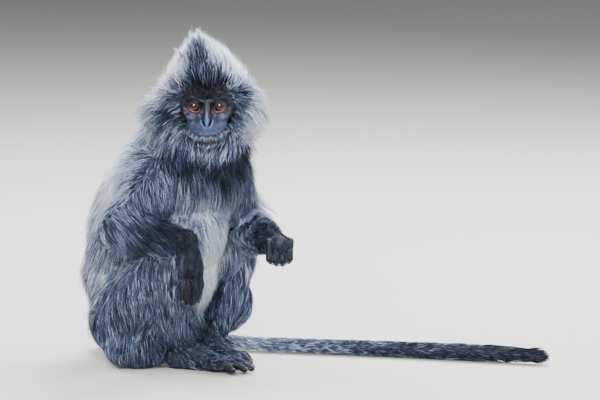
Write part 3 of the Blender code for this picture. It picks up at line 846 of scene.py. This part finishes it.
varied = mottle.nodes.new("ShaderNodeVectorMath")
varied.operation = "SCALE"
mottle.links.new(mottle_in.outputs["Color"], varied.inputs[0])
mottle.links.new(shift.outputs[0], varied.inputs["Scale"])
mottle.links.new(varied.outputs[0], mottle_out.inputs["Color"])
mottle.links.new(grain.outputs["Fac"], mottle_out.inputs["Height"])


def painted_material(name, attribute, roughness, grain_size, amount, bump):
    """A material that takes its colour from the paint on the mesh, with grain over it."""
    material, tree, shader = new_material(name, roughness)
    colour = tree.nodes.new("ShaderNodeAttribute")
    colour.attribute_name = attribute
    grain = tree.nodes.new("ShaderNodeGroup")
    grain.node_tree = mottle
    grain.inputs["Size"].default_value = grain_size
    grain.inputs["Amount"].default_value = amount
    tree.links.new(colour.outputs["Color"], grain.inputs["Color"])
    tree.links.new(grain.outputs["Color"], shader.inputs["Base Color"])
    if bump > 0.0:
        height = tree.nodes.new("ShaderNodeBump")
        height.inputs["Distance"].default_value = bump
        height.inputs["Strength"].default_value = 0.8
        tree.links.new(grain.outputs["Height"], height.inputs["Height"])
        tree.links.new(height.outputs["Normal"], shader.inputs["Normal"])
    return material, shader


places = vertex_rows(skin.data)
paint(skin.data, "hide", skin_colour(places))
hide, hide_shader = painted_material("hide", "hide", 0.46, 420.0, 0.60, 0.0009)
hide_shader.inputs["Specular IOR Level"].default_value = 0.16
skin.data.materials.clear()
skin.data.materials.append(hide)
skin.data.shade_smooth()
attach(skin, "root")
flesh = [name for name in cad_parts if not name.startswith("eye")]
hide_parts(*flesh)

# ---- The eyes -----------------------------------------------------------------------------------
# Glass eyes, each one ball with a raised clear front: a black pupil, a red-brown iris with a dark
# edge, and a dark brown white. They are set in the sockets and only the part between the lids shows.

IRIS_RADIUS = 0.0058
PUPIL_RADIUS = 0.0024
GAZE = Vector((0.0, -1.0, 0.10)).normalized()
eye_material, eye_tree, eye_shader = new_material("eye_glass", 0.06)
eye_shader.inputs["Specular IOR Level"].default_value = 0.0
eye_shader.inputs["Coat Weight"].default_value = 0.4
eye_shader.inputs["Coat Roughness"].default_value = 0.02
eye_colour = eye_tree.nodes.new("ShaderNodeAttribute")
eye_colour.attribute_name = "iris"
eye_tree.links.new(eye_colour.outputs["Color"], eye_shader.inputs["Base Color"])
for side in SIGN:
    clay = bmesh.new()
    bmesh.ops.create_icosphere(clay, subdivisions=6, radius=EYE_RADIUS)
    for vert in clay.verts:
        off_axis = vert.co.normalized().cross(GAZE).length * EYE_RADIUS
        if vert.co.dot(GAZE) > 0.0:
            vert.co *= 1.0 + 0.055 * float(1.0 - ease(off_axis, 0.0025, IRIS_RADIUS + 0.0006))
        vert.co += EYES[side]
    mesh = mesh_from("eye_" + side, clay)
    eyeball = new_object("eyeball_" + side, mesh)
    out = vertex_rows(mesh) - np.array(EYES[side])
    out = unit(out)
    ring = np.linalg.norm(np.cross(out, np.array(GAZE)), axis=1) * EYE_RADIUS
    ring = np.where(out @ np.array(GAZE) > 0.0, ring, EYE_RADIUS)
    turn = np.arctan2(out[:, 2], out[:, 0])
    streaks = 0.5 + 0.5 * np.sin(turn * 31.0 + 3.0 * np.sin(turn * 7.0)) * np.sin(turn * 17.0 + 1.0)
    inner = np.array((0.105, 0.022, 0.005))
    outer = np.array((0.050, 0.010, 0.003))
    colour = mix(inner, outer, ease(ring, PUPIL_RADIUS, IRIS_RADIUS))
    # The iris darkens towards its top: painted shadow of the upper lid.
    colour *= (0.75 + 0.5 * streaks)[:, None] * (1.0 - 0.85 * ease(out[:, 2], -0.15, 0.25))[:, None]
    black_in = 1.0 - ease(ring, PUPIL_RADIUS - 0.0002, PUPIL_RADIUS + 0.0004)
    edge = ease(ring, IRIS_RADIUS - 0.0018, IRIS_RADIUS)
    colour *= ((1.0 - black_in) * (1.0 - 0.96 * edge))[:, None]
    white = np.array((0.030, 0.016, 0.012))
    colour = mix(colour, white, ease(ring, IRIS_RADIUS + 0.0002, IRIS_RADIUS + 0.0008))
    paint(mesh, "iris", np.maximum(colour, 0.003))
    mesh.materials.append(eye_material)
    mesh.shade_smooth()
    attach(eyeball, "root")
    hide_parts("eye_" + side)

# ---- The nails ----------------------------------------------------------------------------------
# A small arched horny nail on the back of each finger and toe, slate-black, bedded in the skin of the tip.

clay = bmesh.new()
for _, middle, tip, back in digits:
    ahead = (tip - middle).normalized()
    across = ahead.cross(back).normalized()
    outward = across.cross(ahead).normalized()
    turn = Matrix((across, ahead, outward)).transposed().to_4x4()
    place = Matrix.Translation(tip - ahead * 0.0008 + outward * 0.0022)
    shape = Matrix.Diagonal((0.0023, 0.0036, 0.0014, 1.0))
    bmesh.ops.create_icosphere(clay, subdivisions=3, radius=1.0, matrix=place @ turn @ shape)
mesh = mesh_from("nails", clay)
nails = new_object("nails", mesh)
horn, _, horn_shader = new_material("horn", 0.50)
horn_shader.inputs["Base Color"].default_value = (0.014, 0.014, 0.018, 1.0)
mesh.materials.append(horn)
mesh.shade_smooth()
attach(nails, "root")

# ---- The coat: how it lies and how it is planted ------------------------------------------------
# Every tuft is a thin closed three-sided lock of hair that tapers to its tip, rooted in the skin. It
# runs along the body away from the face, rises into the depth of the coat, and leans to its neighbours.

under = new_object("under", skin.data.copy())
fuse(under, 0.0045, 8)
bpy.ops.object.select_all(action="DESELECT")
bpy.context.view_layer.objects.active = under
under.select_set(True)
bpy.ops.object.mode_set(mode="EDIT")
bpy.ops.mesh.select_all(action="SELECT")
bpy.ops.mesh.quads_convert_to_tris()
bpy.ops.uv.smart_project(angle_limit=math.radians(66), island_margin=0.002)
bpy.ops.object.mode_set(mode="OBJECT")


def triangles_of(mesh):
    """The corner vertices of a mesh's triangles, as rows."""
    mesh.calc_loop_triangles()
    rows = np.empty(len(mesh.loop_triangles) * 3, np.int32)
    mesh.loop_triangles.foreach_get("vertices", rows)
    return rows.reshape(-1, 3)


under_places = vertex_rows(under.data)
under_normals = vertex_rows(under.data, "normal")
under_faces = triangles_of(under.data)
under_loops = np.empty(len(under_faces) * 3, np.int32)
under.data.loop_triangles.foreach_get("loops", under_loops)
unwrap = np.empty(len(under.data.loops) * 2, np.float32)
under.data.uv_layers.active.data.foreach_get("uv", unwrap)
unwrap = unwrap.reshape(-1, 2)[under_loops.reshape(-1, 3)]
under_tree = BVHTree.FromPolygons(under_places.tolist(), under_faces.tolist())

clay = bmesh.new()
for name in flesh:
    clay.from_mesh(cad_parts[name].data)
envelope = mould("envelope", clay, 0.0035, 2)
envelope_places = vertex_rows(envelope.data)
envelope_faces = triangles_of(envelope.data)
envelope_tree = BVHTree.FromPolygons(envelope_places.tolist(), envelope_faces.tolist())


def coat_depth(place, way):
    """How far it is from the skin out to the tips of the coat, along a direction."""
    hit, normal, _, gap = envelope_tree.ray_cast(Vector(place), Vector(way), 0.14)
    if hit is None or normal.dot(Vector(way)) < 0.0:
        return 0.0
    return gap


def standing_proud(places):
    """How far places stand out of the coat's outline."""
    found = [envelope_tree.find_nearest(place) for place in places.tolist()]
    spots = np.array([hit[0] for hit in found])
    out = np.array([hit[1] for hit in found])
    return np.einsum("ij,ij->i", places - spots, out)


depths = np.array([coat_depth(p, n) for p, n in zip(under_places, under_normals)])
edges = np.empty(len(under.data.edges) * 2, np.int32)
under.data.edges.foreach_get("vertices", edges)
edges = edges.reshape(-1, 2)
count = np.bincount(edges.ravel(), minlength=len(depths))
for _ in range(6):
    total = np.bincount(edges[:, 0], depths[edges[:, 1]], len(depths))
    total += np.bincount(edges[:, 1], depths[edges[:, 0]], len(depths))
    depths = 0.5 * depths + 0.5 * total / np.maximum(count, 1)


def below(places):
    """The skin under each place: its spot, normal, coat depth and place on the unwrap."""
    found = [under_tree.find_nearest(place) for place in places.tolist()]
    spots = np.array([hit[0] for hit in found])
    rows = np.array([hit[2] for hit in found])
    corners = under_places[under_faces[rows]]
    a, b, c = corners[:, 0], corners[:, 1], corners[:, 2]
    full = np.cross(b - a, c - a)
    size = np.einsum("ij,ij->i", full, full) + 1e-20
    share_b = np.einsum("ij,ij->i", np.cross(spots - a, c - a), full) / size
    share_c = np.einsum("ij,ij->i", np.cross(b - a, spots - a), full) / size
    shares = np.stack((1.0 - share_b - share_c, share_b, share_c), axis=1)
    normal = unit(np.einsum("ij,ijk->ik", shares, under_normals[under_faces[rows]]))
    depth = np.einsum("ij,ij->i", shares, depths[under_faces[rows]])
    spread = np.einsum("ij,ijk->ik", shares, unwrap[rows])
    return spots, normal, depth, spread


CREST_TIP = np.array((-0.016, 0.050, 0.125))  # where the hair of the cap points, from the face


def lie_of_coat(places, normals):
    """Which way the hair points along the skin at these places, as unit rows."""
    weights, _, ways = body_parts(places)
    weights = weights**0.4  # the lie turns slowly from one part to the next
    weights /= weights.sum(axis=0)
    kinds = kind_weights(weights)
    head_rows = ROWS_OF["head"]
    body = np.einsum("ij,ik->jk", np.delete(weights, head_rows, axis=0), np.delete(ways, head_rows, axis=0))
    local = places - np.array(FACE)
    across, deep, high = local[:, 0], local[:, 1], local[:, 2]
    crest = unit(CREST_TIP - local) + rows_from(across * 9.0, 0.25, 0.1)
    fall = np.interp(high, (-0.050, -0.030, -0.012, 0.004, 0.016), (-2.6, -1.9, -1.1, -0.45, 0.20))
    sideways = rows_from(np.tanh(across * 60.0), 0.40, fall)
    downwards = rows_from(across * 16.0, -0.15, -1.0)
    nape = rows_from(across * 4.0, 0.5, -1.0)
    low = ease(-high, 0.034, 0.052) * (1.0 - 0.6 * ease(np.abs(across), 0.014, 0.030))
    rear = ease(deep, 0.066, 0.086) * (1.0 - ease(high, 0.030, 0.045))
    head_way = unit(mix(sideways, crest, ease(high, 0.006, 0.026)))
    head_way = mix(mix(head_way, downwards, low), nape, rear)
    way = body + head_way * kinds["head"][:, None]
    return unit(square_to(way, normals), 1e-9)


skin_places = vertex_rows(skin.data)
skin_normals = vertex_rows(skin.data, "normal")
skin_faces = triangles_of(skin.data)
face_middles = skin_places[skin_faces].mean(axis=1)
face_areas = np.linalg.norm(
    np.cross(
        skin_places[skin_faces[:, 1]] - skin_places[skin_faces[:, 0]],
        skin_places[skin_faces[:, 2]] - skin_places[skin_faces[:, 0]],
    ),
    axis=1,
)
middle_weights, _, _ = body_parts(face_middles)
middle_kinds = kind_weights(middle_weights)
middle_bare = face_bareness(face_middles)
coat_material, coat_shader = painted_material("coat", "coat", 0.55, 900.0, 0.25, 0.0)
coat_shader.inputs["Specular IOR Level"].default_value = 0.11
SPARSE = 1.0  # the share of the tufts that is planted
PATCH = 0.003  # width of a tuft's patch on the unwrap


def tuft_mesh(name, lines, radii, colours, spread):
    """Builds closed three-sided tufts along lines of places, each with its colours and its patch."""
    steps, count = len(lines) - 1, len(lines[0])
    rings = [lines[0]]
    for step in range(1, steps):
        tangent = unit(lines[step + 1] - lines[step - 1], 1e-9)
        if step == 1:
            sideways = np.cross(tangent, np.array((0.31, 0.52, 0.80)))
        sideways = unit(square_to(sideways, tangent), 1e-9)
        upwards = np.cross(tangent, sideways)
        for corner in range(3):
            turn = corner * 2.0 * math.pi / 3.0
            out = sideways * math.cos(turn) + upwards * math.sin(turn)
            rings.append(lines[step] + out * radii[step][:, None])
    rings.append(lines[steps])
    verts = np.stack(rings, axis=1)
    per_tuft = verts.shape[1]
    faces, patches = [], []
    for step in range(steps):
        bottom, top = step / steps, (step + 1) / steps
        for corner in range(3):
            left, right = corner / 3.0, (corner + 1) / 3.0
            a, b = step * 3 - 2 + corner, step * 3 - 2 + (corner + 1) % 3
            if step == 0:
                faces.append((0, b + 3, a + 3))
                patches.append((((left + right) / 2, bottom), (right, top), (left, top)))
            elif step == steps - 1:
                faces.append((a, b, per_tuft - 1))
                patches.append(((left, bottom), (right, bottom), ((left + right) / 2, top)))
            else:
                faces.append((a, b, b + 3, a + 3))
                patches.append(((left, bottom), (right, bottom), (right, top), (left, top)))
    corners = np.array([corner for face in faces for corner in face])
    sizes = np.array([len(face) for face in faces])
    all_corners = (corners[None, :] + np.arange(count)[:, None] * per_tuft).ravel()
    all_sizes = np.tile(sizes, count)
    mesh = bpy.data.meshes.new(name)
    mesh.vertices.add(count * per_tuft)
    mesh.vertices.foreach_set("co", verts.astype(np.float32).ravel())
    mesh.loops.add(len(all_corners))
    mesh.loops.foreach_set("vertex_index", all_corners.astype(np.int32))
    mesh.polygons.add(len(all_sizes))
    starts = np.concatenate(((0,), np.cumsum(all_sizes)[:-1]))
    mesh.polygons.foreach_set("loop_start", starts.astype(np.int32))
    mesh.update(calc_edges=True)
    tones = [colours[0]] + [colours[step] for step in range(1, steps) for _ in range(3)] + [colours[steps]]
    paint(mesh, "coat", np.stack(tones, axis=1).reshape(-1, 3))
    offsets = (np.array([spot for patch in patches for spot in patch]) - 0.5) * PATCH
    layer = mesh.uv_layers.new(name="OFBake")
    layer.data.foreach_set("uv", (spread[:, None, :] + offsets[None]).astype(np.float32).ravel())
    mesh.shade_smooth()
    return mesh


def add_coat(name, lines, radii, colours, spread):
    """Adds one piece of coat, made of tufts, to the model."""
    mesh = tuft_mesh(name, lines, radii, colours, spread)
    mesh.materials.append(coat_material)
    piece = new_object(name, mesh)
    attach(piece, "root")


def plant(name, share, count, length, thick, lift, steps=3, cling=1.0, lock=0.42, clump=7,
          deepest=0.03, droop=0.0, wisp=0.004, tip_silver=0.22, stray=0.10, seed=1):
    """Plants one piece of coat over its share of the skin."""
    dice = np.random.default_rng(seed)
    count = int(count * SPARSE)
    chance = face_areas * share
    rows = dice.choice(len(chance), count, p=chance / chance.sum())
    within = dice.random((count, 2))
    within[within.sum(axis=1) > 1.0] = 1.0 - within[within.sum(axis=1) > 1.0]
    within = np.concatenate((1.0 - within.sum(axis=1, keepdims=True), within), axis=1)
    roots = np.einsum("ij,ijk->ik", within, skin_places[skin_faces[rows]])
    normals = unit(np.einsum("ij,ijk->ik", within, skin_normals[skin_faces[rows]]))
    spots, _, depth, spread = below(roots)

    leaders = dice.choice(count, max(count // clump, 1), replace=False)
    tree = KDTree(len(leaders))
    for row, leader in enumerate(leaders):
        tree.insert(roots[leader], row)
    tree.balance()
    group = np.array([tree.find(root)[1] for root in roots.tolist()])
    leader = leaders[group]

    size = length(roots) if callable(length) else np.full(count, length)
    size = size * np.clip(dice.normal(1.0, 0.16, count), 0.55, 1.45)
    spring = np.clip(dice.normal(lift, 0.14, count), 0.2, 1.15)
    reach = np.clip(np.minimum(depth, deepest) * spring, 0.0008, None)
    reach = np.minimum(reach, size * 0.94)
    swerve = dice.normal(0.0, stray, (count, 3)) + dice.normal(0.0, stray * 1.2, (len(leaders), 3))[group]
    line = [roots - normals * 0.0008]
    base, face_way, height = spots, normals, np.zeros(count)
    way = None
    for step in range(1, steps + 1):
        along = step / steps
        target = reach * (1.0 - (1.0 - along) ** 1.7)
        stride = size / steps
        flat = np.sqrt(np.clip(stride**2 - (target - height) ** 2, 0.0, None))
        flow = unit(square_to(lie_of_coat(base, face_way) + swerve, face_way), 1e-9)
        if way is None:
            way = unit(flow * flat[:, None] + face_way * (target - height)[:, None], 1e-9)
        base, face_way, _, _ = below(base + flow * flat[:, None])
        laid = base + face_way * target[:, None]
        way = unit(way + np.array((0.0, 0.0, -droop * along)))
        free = line[-1] + way * stride[:, None]
        line.append(laid * cling + free * (1.0 - cling))
        height = target
    for step in range(1, steps + 1):
        pull = lock * (step / steps) ** 1.5
        line[step] = line[step] * (1.0 - pull) + (line[step][leader] + (roots - roots[leader]) * 0.25) * pull
    margin = dice.normal(-0.0005, 0.0024, count) + wisp * (dice.random(len(leaders)) ** 2)[group]
    margin += np.where(dice.random(count) < 0.06, wisp, 0.0)
    for step in (steps, steps - 1, steps):
        proud = np.maximum(standing_proud(line[step]) - margin * step / steps, 0.0)
        share = np.clip(1.0 - proud / (np.linalg.norm(line[step] - roots, axis=1) + 1e-6), 0.25, 1.0)
        line = [roots + (places - roots) * share[:, None] for places in line]
    for step in range(steps + 1):
        line[step][:, 2] = np.maximum(line[step][:, 2], 0.0007)

    vary = dice.normal(-0.08, 0.28, count) + dice.normal(0.0, 0.17, len(leaders))[group]
    bright = np.where(dice.random(count) < 0.14, 1.0, 0.0)
    bright += np.where(dice.random(len(leaders)) < 0.08, 0.8, 0.0)[group]
    wide = thick * np.clip(dice.normal(1.0, 0.2, count), 0.5, 1.5)
    radii, colours = [], []
    for step in range(steps + 1):
        along = step / steps
        radii.append(wide * (0.65 + 0.35 * min(along * 3.0, 1.0)) * (1.0 - 0.55 * along))
        tone = silver(roots * (1.0 - 0.8 * along) + line[step] * 0.8 * along)
        gleam = bright * 0.40 * np.clip(tone * 3.0, 0.10, 1.0)
        tone = tone + vary * (0.25 + tone * (1.3 - 0.9 * tone)) + gleam
        frost = tip_silver * along**1.5 * np.clip(tone * 2.0, 0.08, 1)
        # Each tuft darkens towards its root: its darker base, and painted shade deep in the coat.
        shade = tone * (0.28 + 0.72 * min(along * 1.5, 1.0)) + frost
        colours.append(hair_colour(np.clip(shade, 0.0, 1.0)))
    add_coat(name, line, radii, colours, spread)


# ---- The coat of the head -----------------------------------------------------------------------
# Long straight hair that stands up from brow and crown to a pointed crest, sweeps out from the cheeks
# in a flat ruff and hangs under the chin. It is short at the edge of the face and longest outside.

local_middles = face_middles - np.array(FACE)
hairy = 1.0 - middle_bare


def head_length(places):
    """Length of the hair of the head, short by the bare face."""
    local = places - np.array(FACE)
    back = ease(local[:, 1], 0.006, 0.040)
    high = ease(local[:, 2], 0.010, 0.050)
    return 0.008 + 0.052 * np.maximum(back, high)


cap = middle_kinds["head"] * hairy * ease(local_middles[:, 2], 0.004, 0.012)
plant("crest_hair", cap, 13000, head_length, 0.00036, 0.98, cling=0.20, lock=0.40, clump=16,
      deepest=0.075, wisp=0.006, stray=0.06, tip_silver=0.48, seed=11)
cheeks = middle_kinds["head"] * hairy * (1.0 - ease(local_middles[:, 2], 0.004, 0.012))
mouth_gap = np.hypot(local_middles[:, 0] / 0.0200, (local_middles[:, 2] + 0.0425) / 0.0065)
cheeks *= np.maximum(ease(mouth_gap, 0.85, 1.10), local_middles[:, 1] > 0.014)
for side, sign in SIGN.items():
    half = cheeks * (local_middles[:, 0] * sign > 0.0)
    seed = 12 if side == "left" else 13
    plant("ruff_hair_" + side, half, 12000, head_length, 0.00036, 0.98, cling=0.25, clump=12,
          deepest=0.075, droop=0.16, wisp=0.006, stray=0.06, tip_silver=0.44, seed=seed)

mask_width = np.interp(local_middles[:, 2], MASK_HEIGHTS, MASK_WIDTHS)
outside = np.maximum(np.abs(local_middles[:, 0]) - mask_width, 0.0)
rim_share = hairy * middle_kinds["head"] * (1.0 - ease(outside, 0.004, 0.014)) * (local_middles[:, 1] < 0.040)
rim_share *= ease(local_middles[:, 2], -0.036, -0.026) * (1.0 - ease(local_middles[:, 2], 0.010, 0.030))
plant("rim_hair", rim_share, 5500, 0.0115, 0.00022, 0.9, steps=2, deepest=0.0045, lock=0.25,
      wisp=0.001, stray=0.10, tip_silver=0.46, seed=14)

low_edge = np.interp(np.abs(local_middles[:, 0]), MASK_WIDTHS[:5], MASK_HEIGHTS[:5])
drop = low_edge - local_middles[:, 2]  # how far below the mask
lip_share = hairy * middle_kinds["head"] * (local_middles[:, 1] < 0.014) * (drop > -0.0005)
lip_share *= (1.0 - ease(drop, 0.0030, 0.0048)) * (1.0 - ease(np.abs(local_middles[:, 0]), 0.024, 0.029))
plant("lip_hair", lip_share, 3000, 0.0052, 0.00018, 0.9, steps=2, deepest=0.0022, lock=0.0,
      wisp=0.001, stray=0.20, tip_silver=0.95, seed=15)

# ---- The wisps of crest, ruff and elbow, and the tail's brush -----------------------------------
# The longest hairs gather into pointed wisps: upright ones at the tip of the crest, ones that hang from the
# outer edge of the ruff, and ones at the left elbow painted white as backlight. The tail ends in a blunt
# brush.

# Where each wisp ends, from the face's origin.
CREST_TIPS = (
    (-0.0254, 0.045, 0.1000),
    (-0.0136, 0.045, 0.1040),
    (-0.0047, 0.047, 0.0940),
    (-0.0200, 0.050, 0.0960),
    (-0.0314, 0.045, 0.0885),
    (-0.0458, 0.045, 0.0770),
    (-0.0360, 0.043, 0.0780),
    (0.0042, 0.048, 0.0824),
    (0.0206, 0.050, 0.0665),
    (0.0411, 0.050, 0.0470),
)
RUFF_TIPS = (
    (0.0712, 0.050, 0.0110),
    (0.0860, 0.052, 0.0020),
    (0.0870, 0.050, -0.0100),
    (0.0855, 0.046, -0.0290),
    (0.0760, 0.040, -0.0500),
    (0.0700, 0.036, -0.0700),
    (-0.0600, 0.048, 0.0390),
    (-0.0766, 0.050, 0.0140),
    (-0.0960, 0.050, -0.0110),
    (-0.0940, 0.046, -0.0300),
    (-0.0930, 0.040, -0.0480),
)
# Where the hair at the left elbow ends, in the model's own frame; it is painted white as backlight.
ELBOW_TIPS = (
    (0.2010, 0.030, 0.2010),
    (0.1950, 0.034, 0.2070),
    (0.1900, 0.028, 0.2140),
    (0.1880, 0.036, 0.1980),
    (0.1850, 0.030, 0.2220),
    (0.1960, 0.026, 0.1950),
)
BRUSH_WISPS = 20
BRUSH_RADIUS = 0.0118
WISP_STEPS = (0.0, 0.38, 0.74, 1.0)  # places of the rings of a wisp's tufts, from root to tip
WISP_TAPER = (1.0, 1.0, 0.75, 0.4)  # their widths there
tail_way = (tail_line[-1] - tail_line[-4]) / np.linalg.norm(tail_line[-1] - tail_line[-4])
rank = np.arange(BRUSH_WISPS)
turn = rank * 2.4  # radians, which spreads the wisps evenly over the brush
round_tail = rows_from(0.0, np.cos(turn), np.sin(turn)) * np.sqrt(rank / (BRUSH_WISPS - 1))[:, None]
brush = tail_line[-1] + tail_way * (0.024 - rank * 0.0006)[:, None] + round_tail * BRUSH_RADIUS
brush[:, 2] = np.maximum(brush[:, 2], 0.0030)
crest, ruff, elbow = np.array(CREST_TIPS), np.array(RUFF_TIPS), np.array(ELBOW_TIPS)
inward = (0.40, 1.0, 0.52)
dice = np.random.default_rng(61)
# glow pales the wisps' tips: on crest and ruff their silver tips with painted backlight, on the elbow painted
# backlight alone.
for name, tips, starts, bow, glow, slot in (
    ("crest_wisps", crest + FACE, crest * inward + FACE, 0.004, 0.34, "dark_coat"),
    ("ruff_wisps", ruff + FACE, ruff * inward + FACE, 0.012, 0.34, "silver_coat"),
    ("elbow_wisps", elbow, elbow + (-0.030, 0.0, 0.036), 0.002, 0.90, "silver_coat"),
    ("tail_brush", brush, brush - tail_way * 0.034, 0.000, 0.04, "dark_coat"),
):
    per_wisp = int(46 * SPARSE) + 4
    line = [[] for _ in WISP_STEPS]
    for tip, start in zip(tips, starts):
        roots = below(start + dice.normal(0.0, 0.0050, (per_wisp, 3)))[0]
        ends = tip + dice.normal(0.0, 0.0011, (per_wisp, 3))
        ends = ends + (roots - ends) * (dice.random((per_wisp, 1)) ** 2 * 0.45)
        for step, along in enumerate(WISP_STEPS):
            rise = np.array((0.0, 0.0, bow * 4.0 * along * (1.0 - along)))
            line[step].append(roots + (ends - roots) * along + rise)
    line = [np.concatenate(rows) for rows in line]
    count = len(line[0])
    vary = dice.normal(0.05, 0.22, count)
    wide = 0.00040 * np.clip(dice.normal(1.0, 0.2, count), 0.5, 1.5)
    radii = [wide * share for share in WISP_TAPER]
    colours = []
    for step, along in enumerate(WISP_STEPS):
        tone = silver(line[0] * (1.0 - 0.8 * along) + line[step] * 0.8 * along)
        # Each tuft darkens towards its root: its darker base, and painted shade deep in the coat.
        shade = (tone + vary * (0.3 + tone)) * (0.4 + 0.6 * along) + glow * along
        colours.append(hair_colour(np.clip(shade, 0.0, 1.0)))
    add_coat(name, line, radii, colours, below(line[0])[3])

# ---- The coat of the trunk ----------------------------------------------------------------------
# The mantle of long silver hair over neck, shoulders and back, and the shorter soft hair of throat,
# chest and belly, all combed down the body.

facing = ((face_middles - np.array((0.034, -0.032, 0.0))) * (1.0, 1.0, 0.0)) @ FRONT
front_share = ease(facing, 0.000, 0.030)
trunk = middle_kinds["trunk"]
level = face_middles[:, 2]
plant("mantle_hair", trunk * (1 - front_share) * ease(level, 0.13, 0.21), 12500, 0.064, 0.00037, 0.95,
      cling=0.45, droop=0.06, deepest=0.060, wisp=0.006, stray=0.05, tip_silver=0.42, seed=21)
plant("back_hair", trunk * (1 - front_share) * (1 - ease(level, 0.13, 0.21)), 10600, 0.056, 0.00037, 0.92,
      cling=0.55, droop=0.06, deepest=0.040, wisp=0.006, stray=0.05, tip_silver=0.42, seed=22)


def front_length(places):
    """Length of the hair of throat, chest and belly, shorter downwards."""
    return 0.024 + 0.014 * ease(places[:, 2], 0.17, 0.28)


for name, share, slot in (("throat_hair", ease(level, 0.15, 0.26), "dark_coat"),
                          ("belly_hair", 1 - ease(level, 0.15, 0.26), "belly_coat")):
    plant(name, trunk * front_share * share, 14800, front_length, 0.00034, 0.90, steps=2, lock=0.12,
          deepest=0.045, stray=0.07, tip_silver=0.16, seed=23 if name == "throat_hair" else 24)

# ---- The coat of arms, legs and tail ------------------------------------------------------------
# Hair combed down the limbs, longest on the backs of the arms and on the haunches, and short and
# sleek on shins, hands and feet. The tail's is even, and shorter where its brush is.


def distance(places, centres):
    """How far places are from the nearest of these centres."""
    return np.min([np.linalg.norm(places - np.array(centre), axis=1) for centre in centres], axis=0)


finger_gap = distance(face_middles, [middle for _, middle, _, _ in digits])
back_share = 0.35 + 0.65 * ease(finger_gap, 0.006, 0.016)  # the fingers and toes are barer


def arm_length(places):
    """Length of the hair of the arm, short on the wrist."""
    return 0.007 + 0.027 * ease(distance(places, WRIST.values()), 0.004, 0.085)


def leg_length(places):
    """Length of the hair of the leg, longest on the haunch and short on the ankle."""
    return 0.010 + 0.022 * ease(distance(places, ANKLE.values()), 0.006, 0.075)


for side in SIGN:
    bones = [row for row, bone in enumerate(BONES) if bone[0] not in ("trunk", "head", "tail")]
    rows = bones[:7] if side == "right" else bones[7:]  # seven on each side, the right one's first
    own = {BONES[row][0]: middle_weights[row] for row in rows if BONES[row][0] != "hand"}
    own["hand"] = sum(middle_weights[row] for row in rows if BONES[row][0] == "hand")
    seed = 31 if side == "left" else 41
    plant("arm_hair_" + side, own["upper_arm"] + own["forearm"], 14000, arm_length, 0.00034, 0.92,
          steps=2, lock=0.2, deepest=0.022, wisp=0.005, stray=0.06, seed=seed)
    plant("leg_hair_" + side, own["thigh"] + own["shin"], 15000, leg_length, 0.00037, 0.92,
          steps=2, lock=0.2, deepest=0.024, stray=0.05, seed=seed + 1)
    plant("hand_foot_hair_" + side, (own["hand"] + own["foot"]) * back_share, 8500, 0.0080, 0.00028, 0.9,
          steps=2, deepest=0.0026, lock=0.1, wisp=0.001, seed=seed + 2, tip_silver=0.14)


def tail_length(places):
    """Length of the hair of the tail, shorter at its end, where the brush is."""
    return 0.016 - 0.011 * ease(places[:, 0], tail_line[-1][0] - 0.024, tail_line[-1][0])


plant("tail_hair", middle_kinds["tail"], 11000, tail_length, 0.00040, 1.0, steps=2,
      deepest=0.009, lock=0.15, stray=0.12, wisp=0.003, seed=51)

# ---- The finished model -------------------------------------------------------------------------
# Nothing more is added here: the trial surfaces go.

bpy.data.objects.remove(under)
bpy.data.objects.remove(envelope)
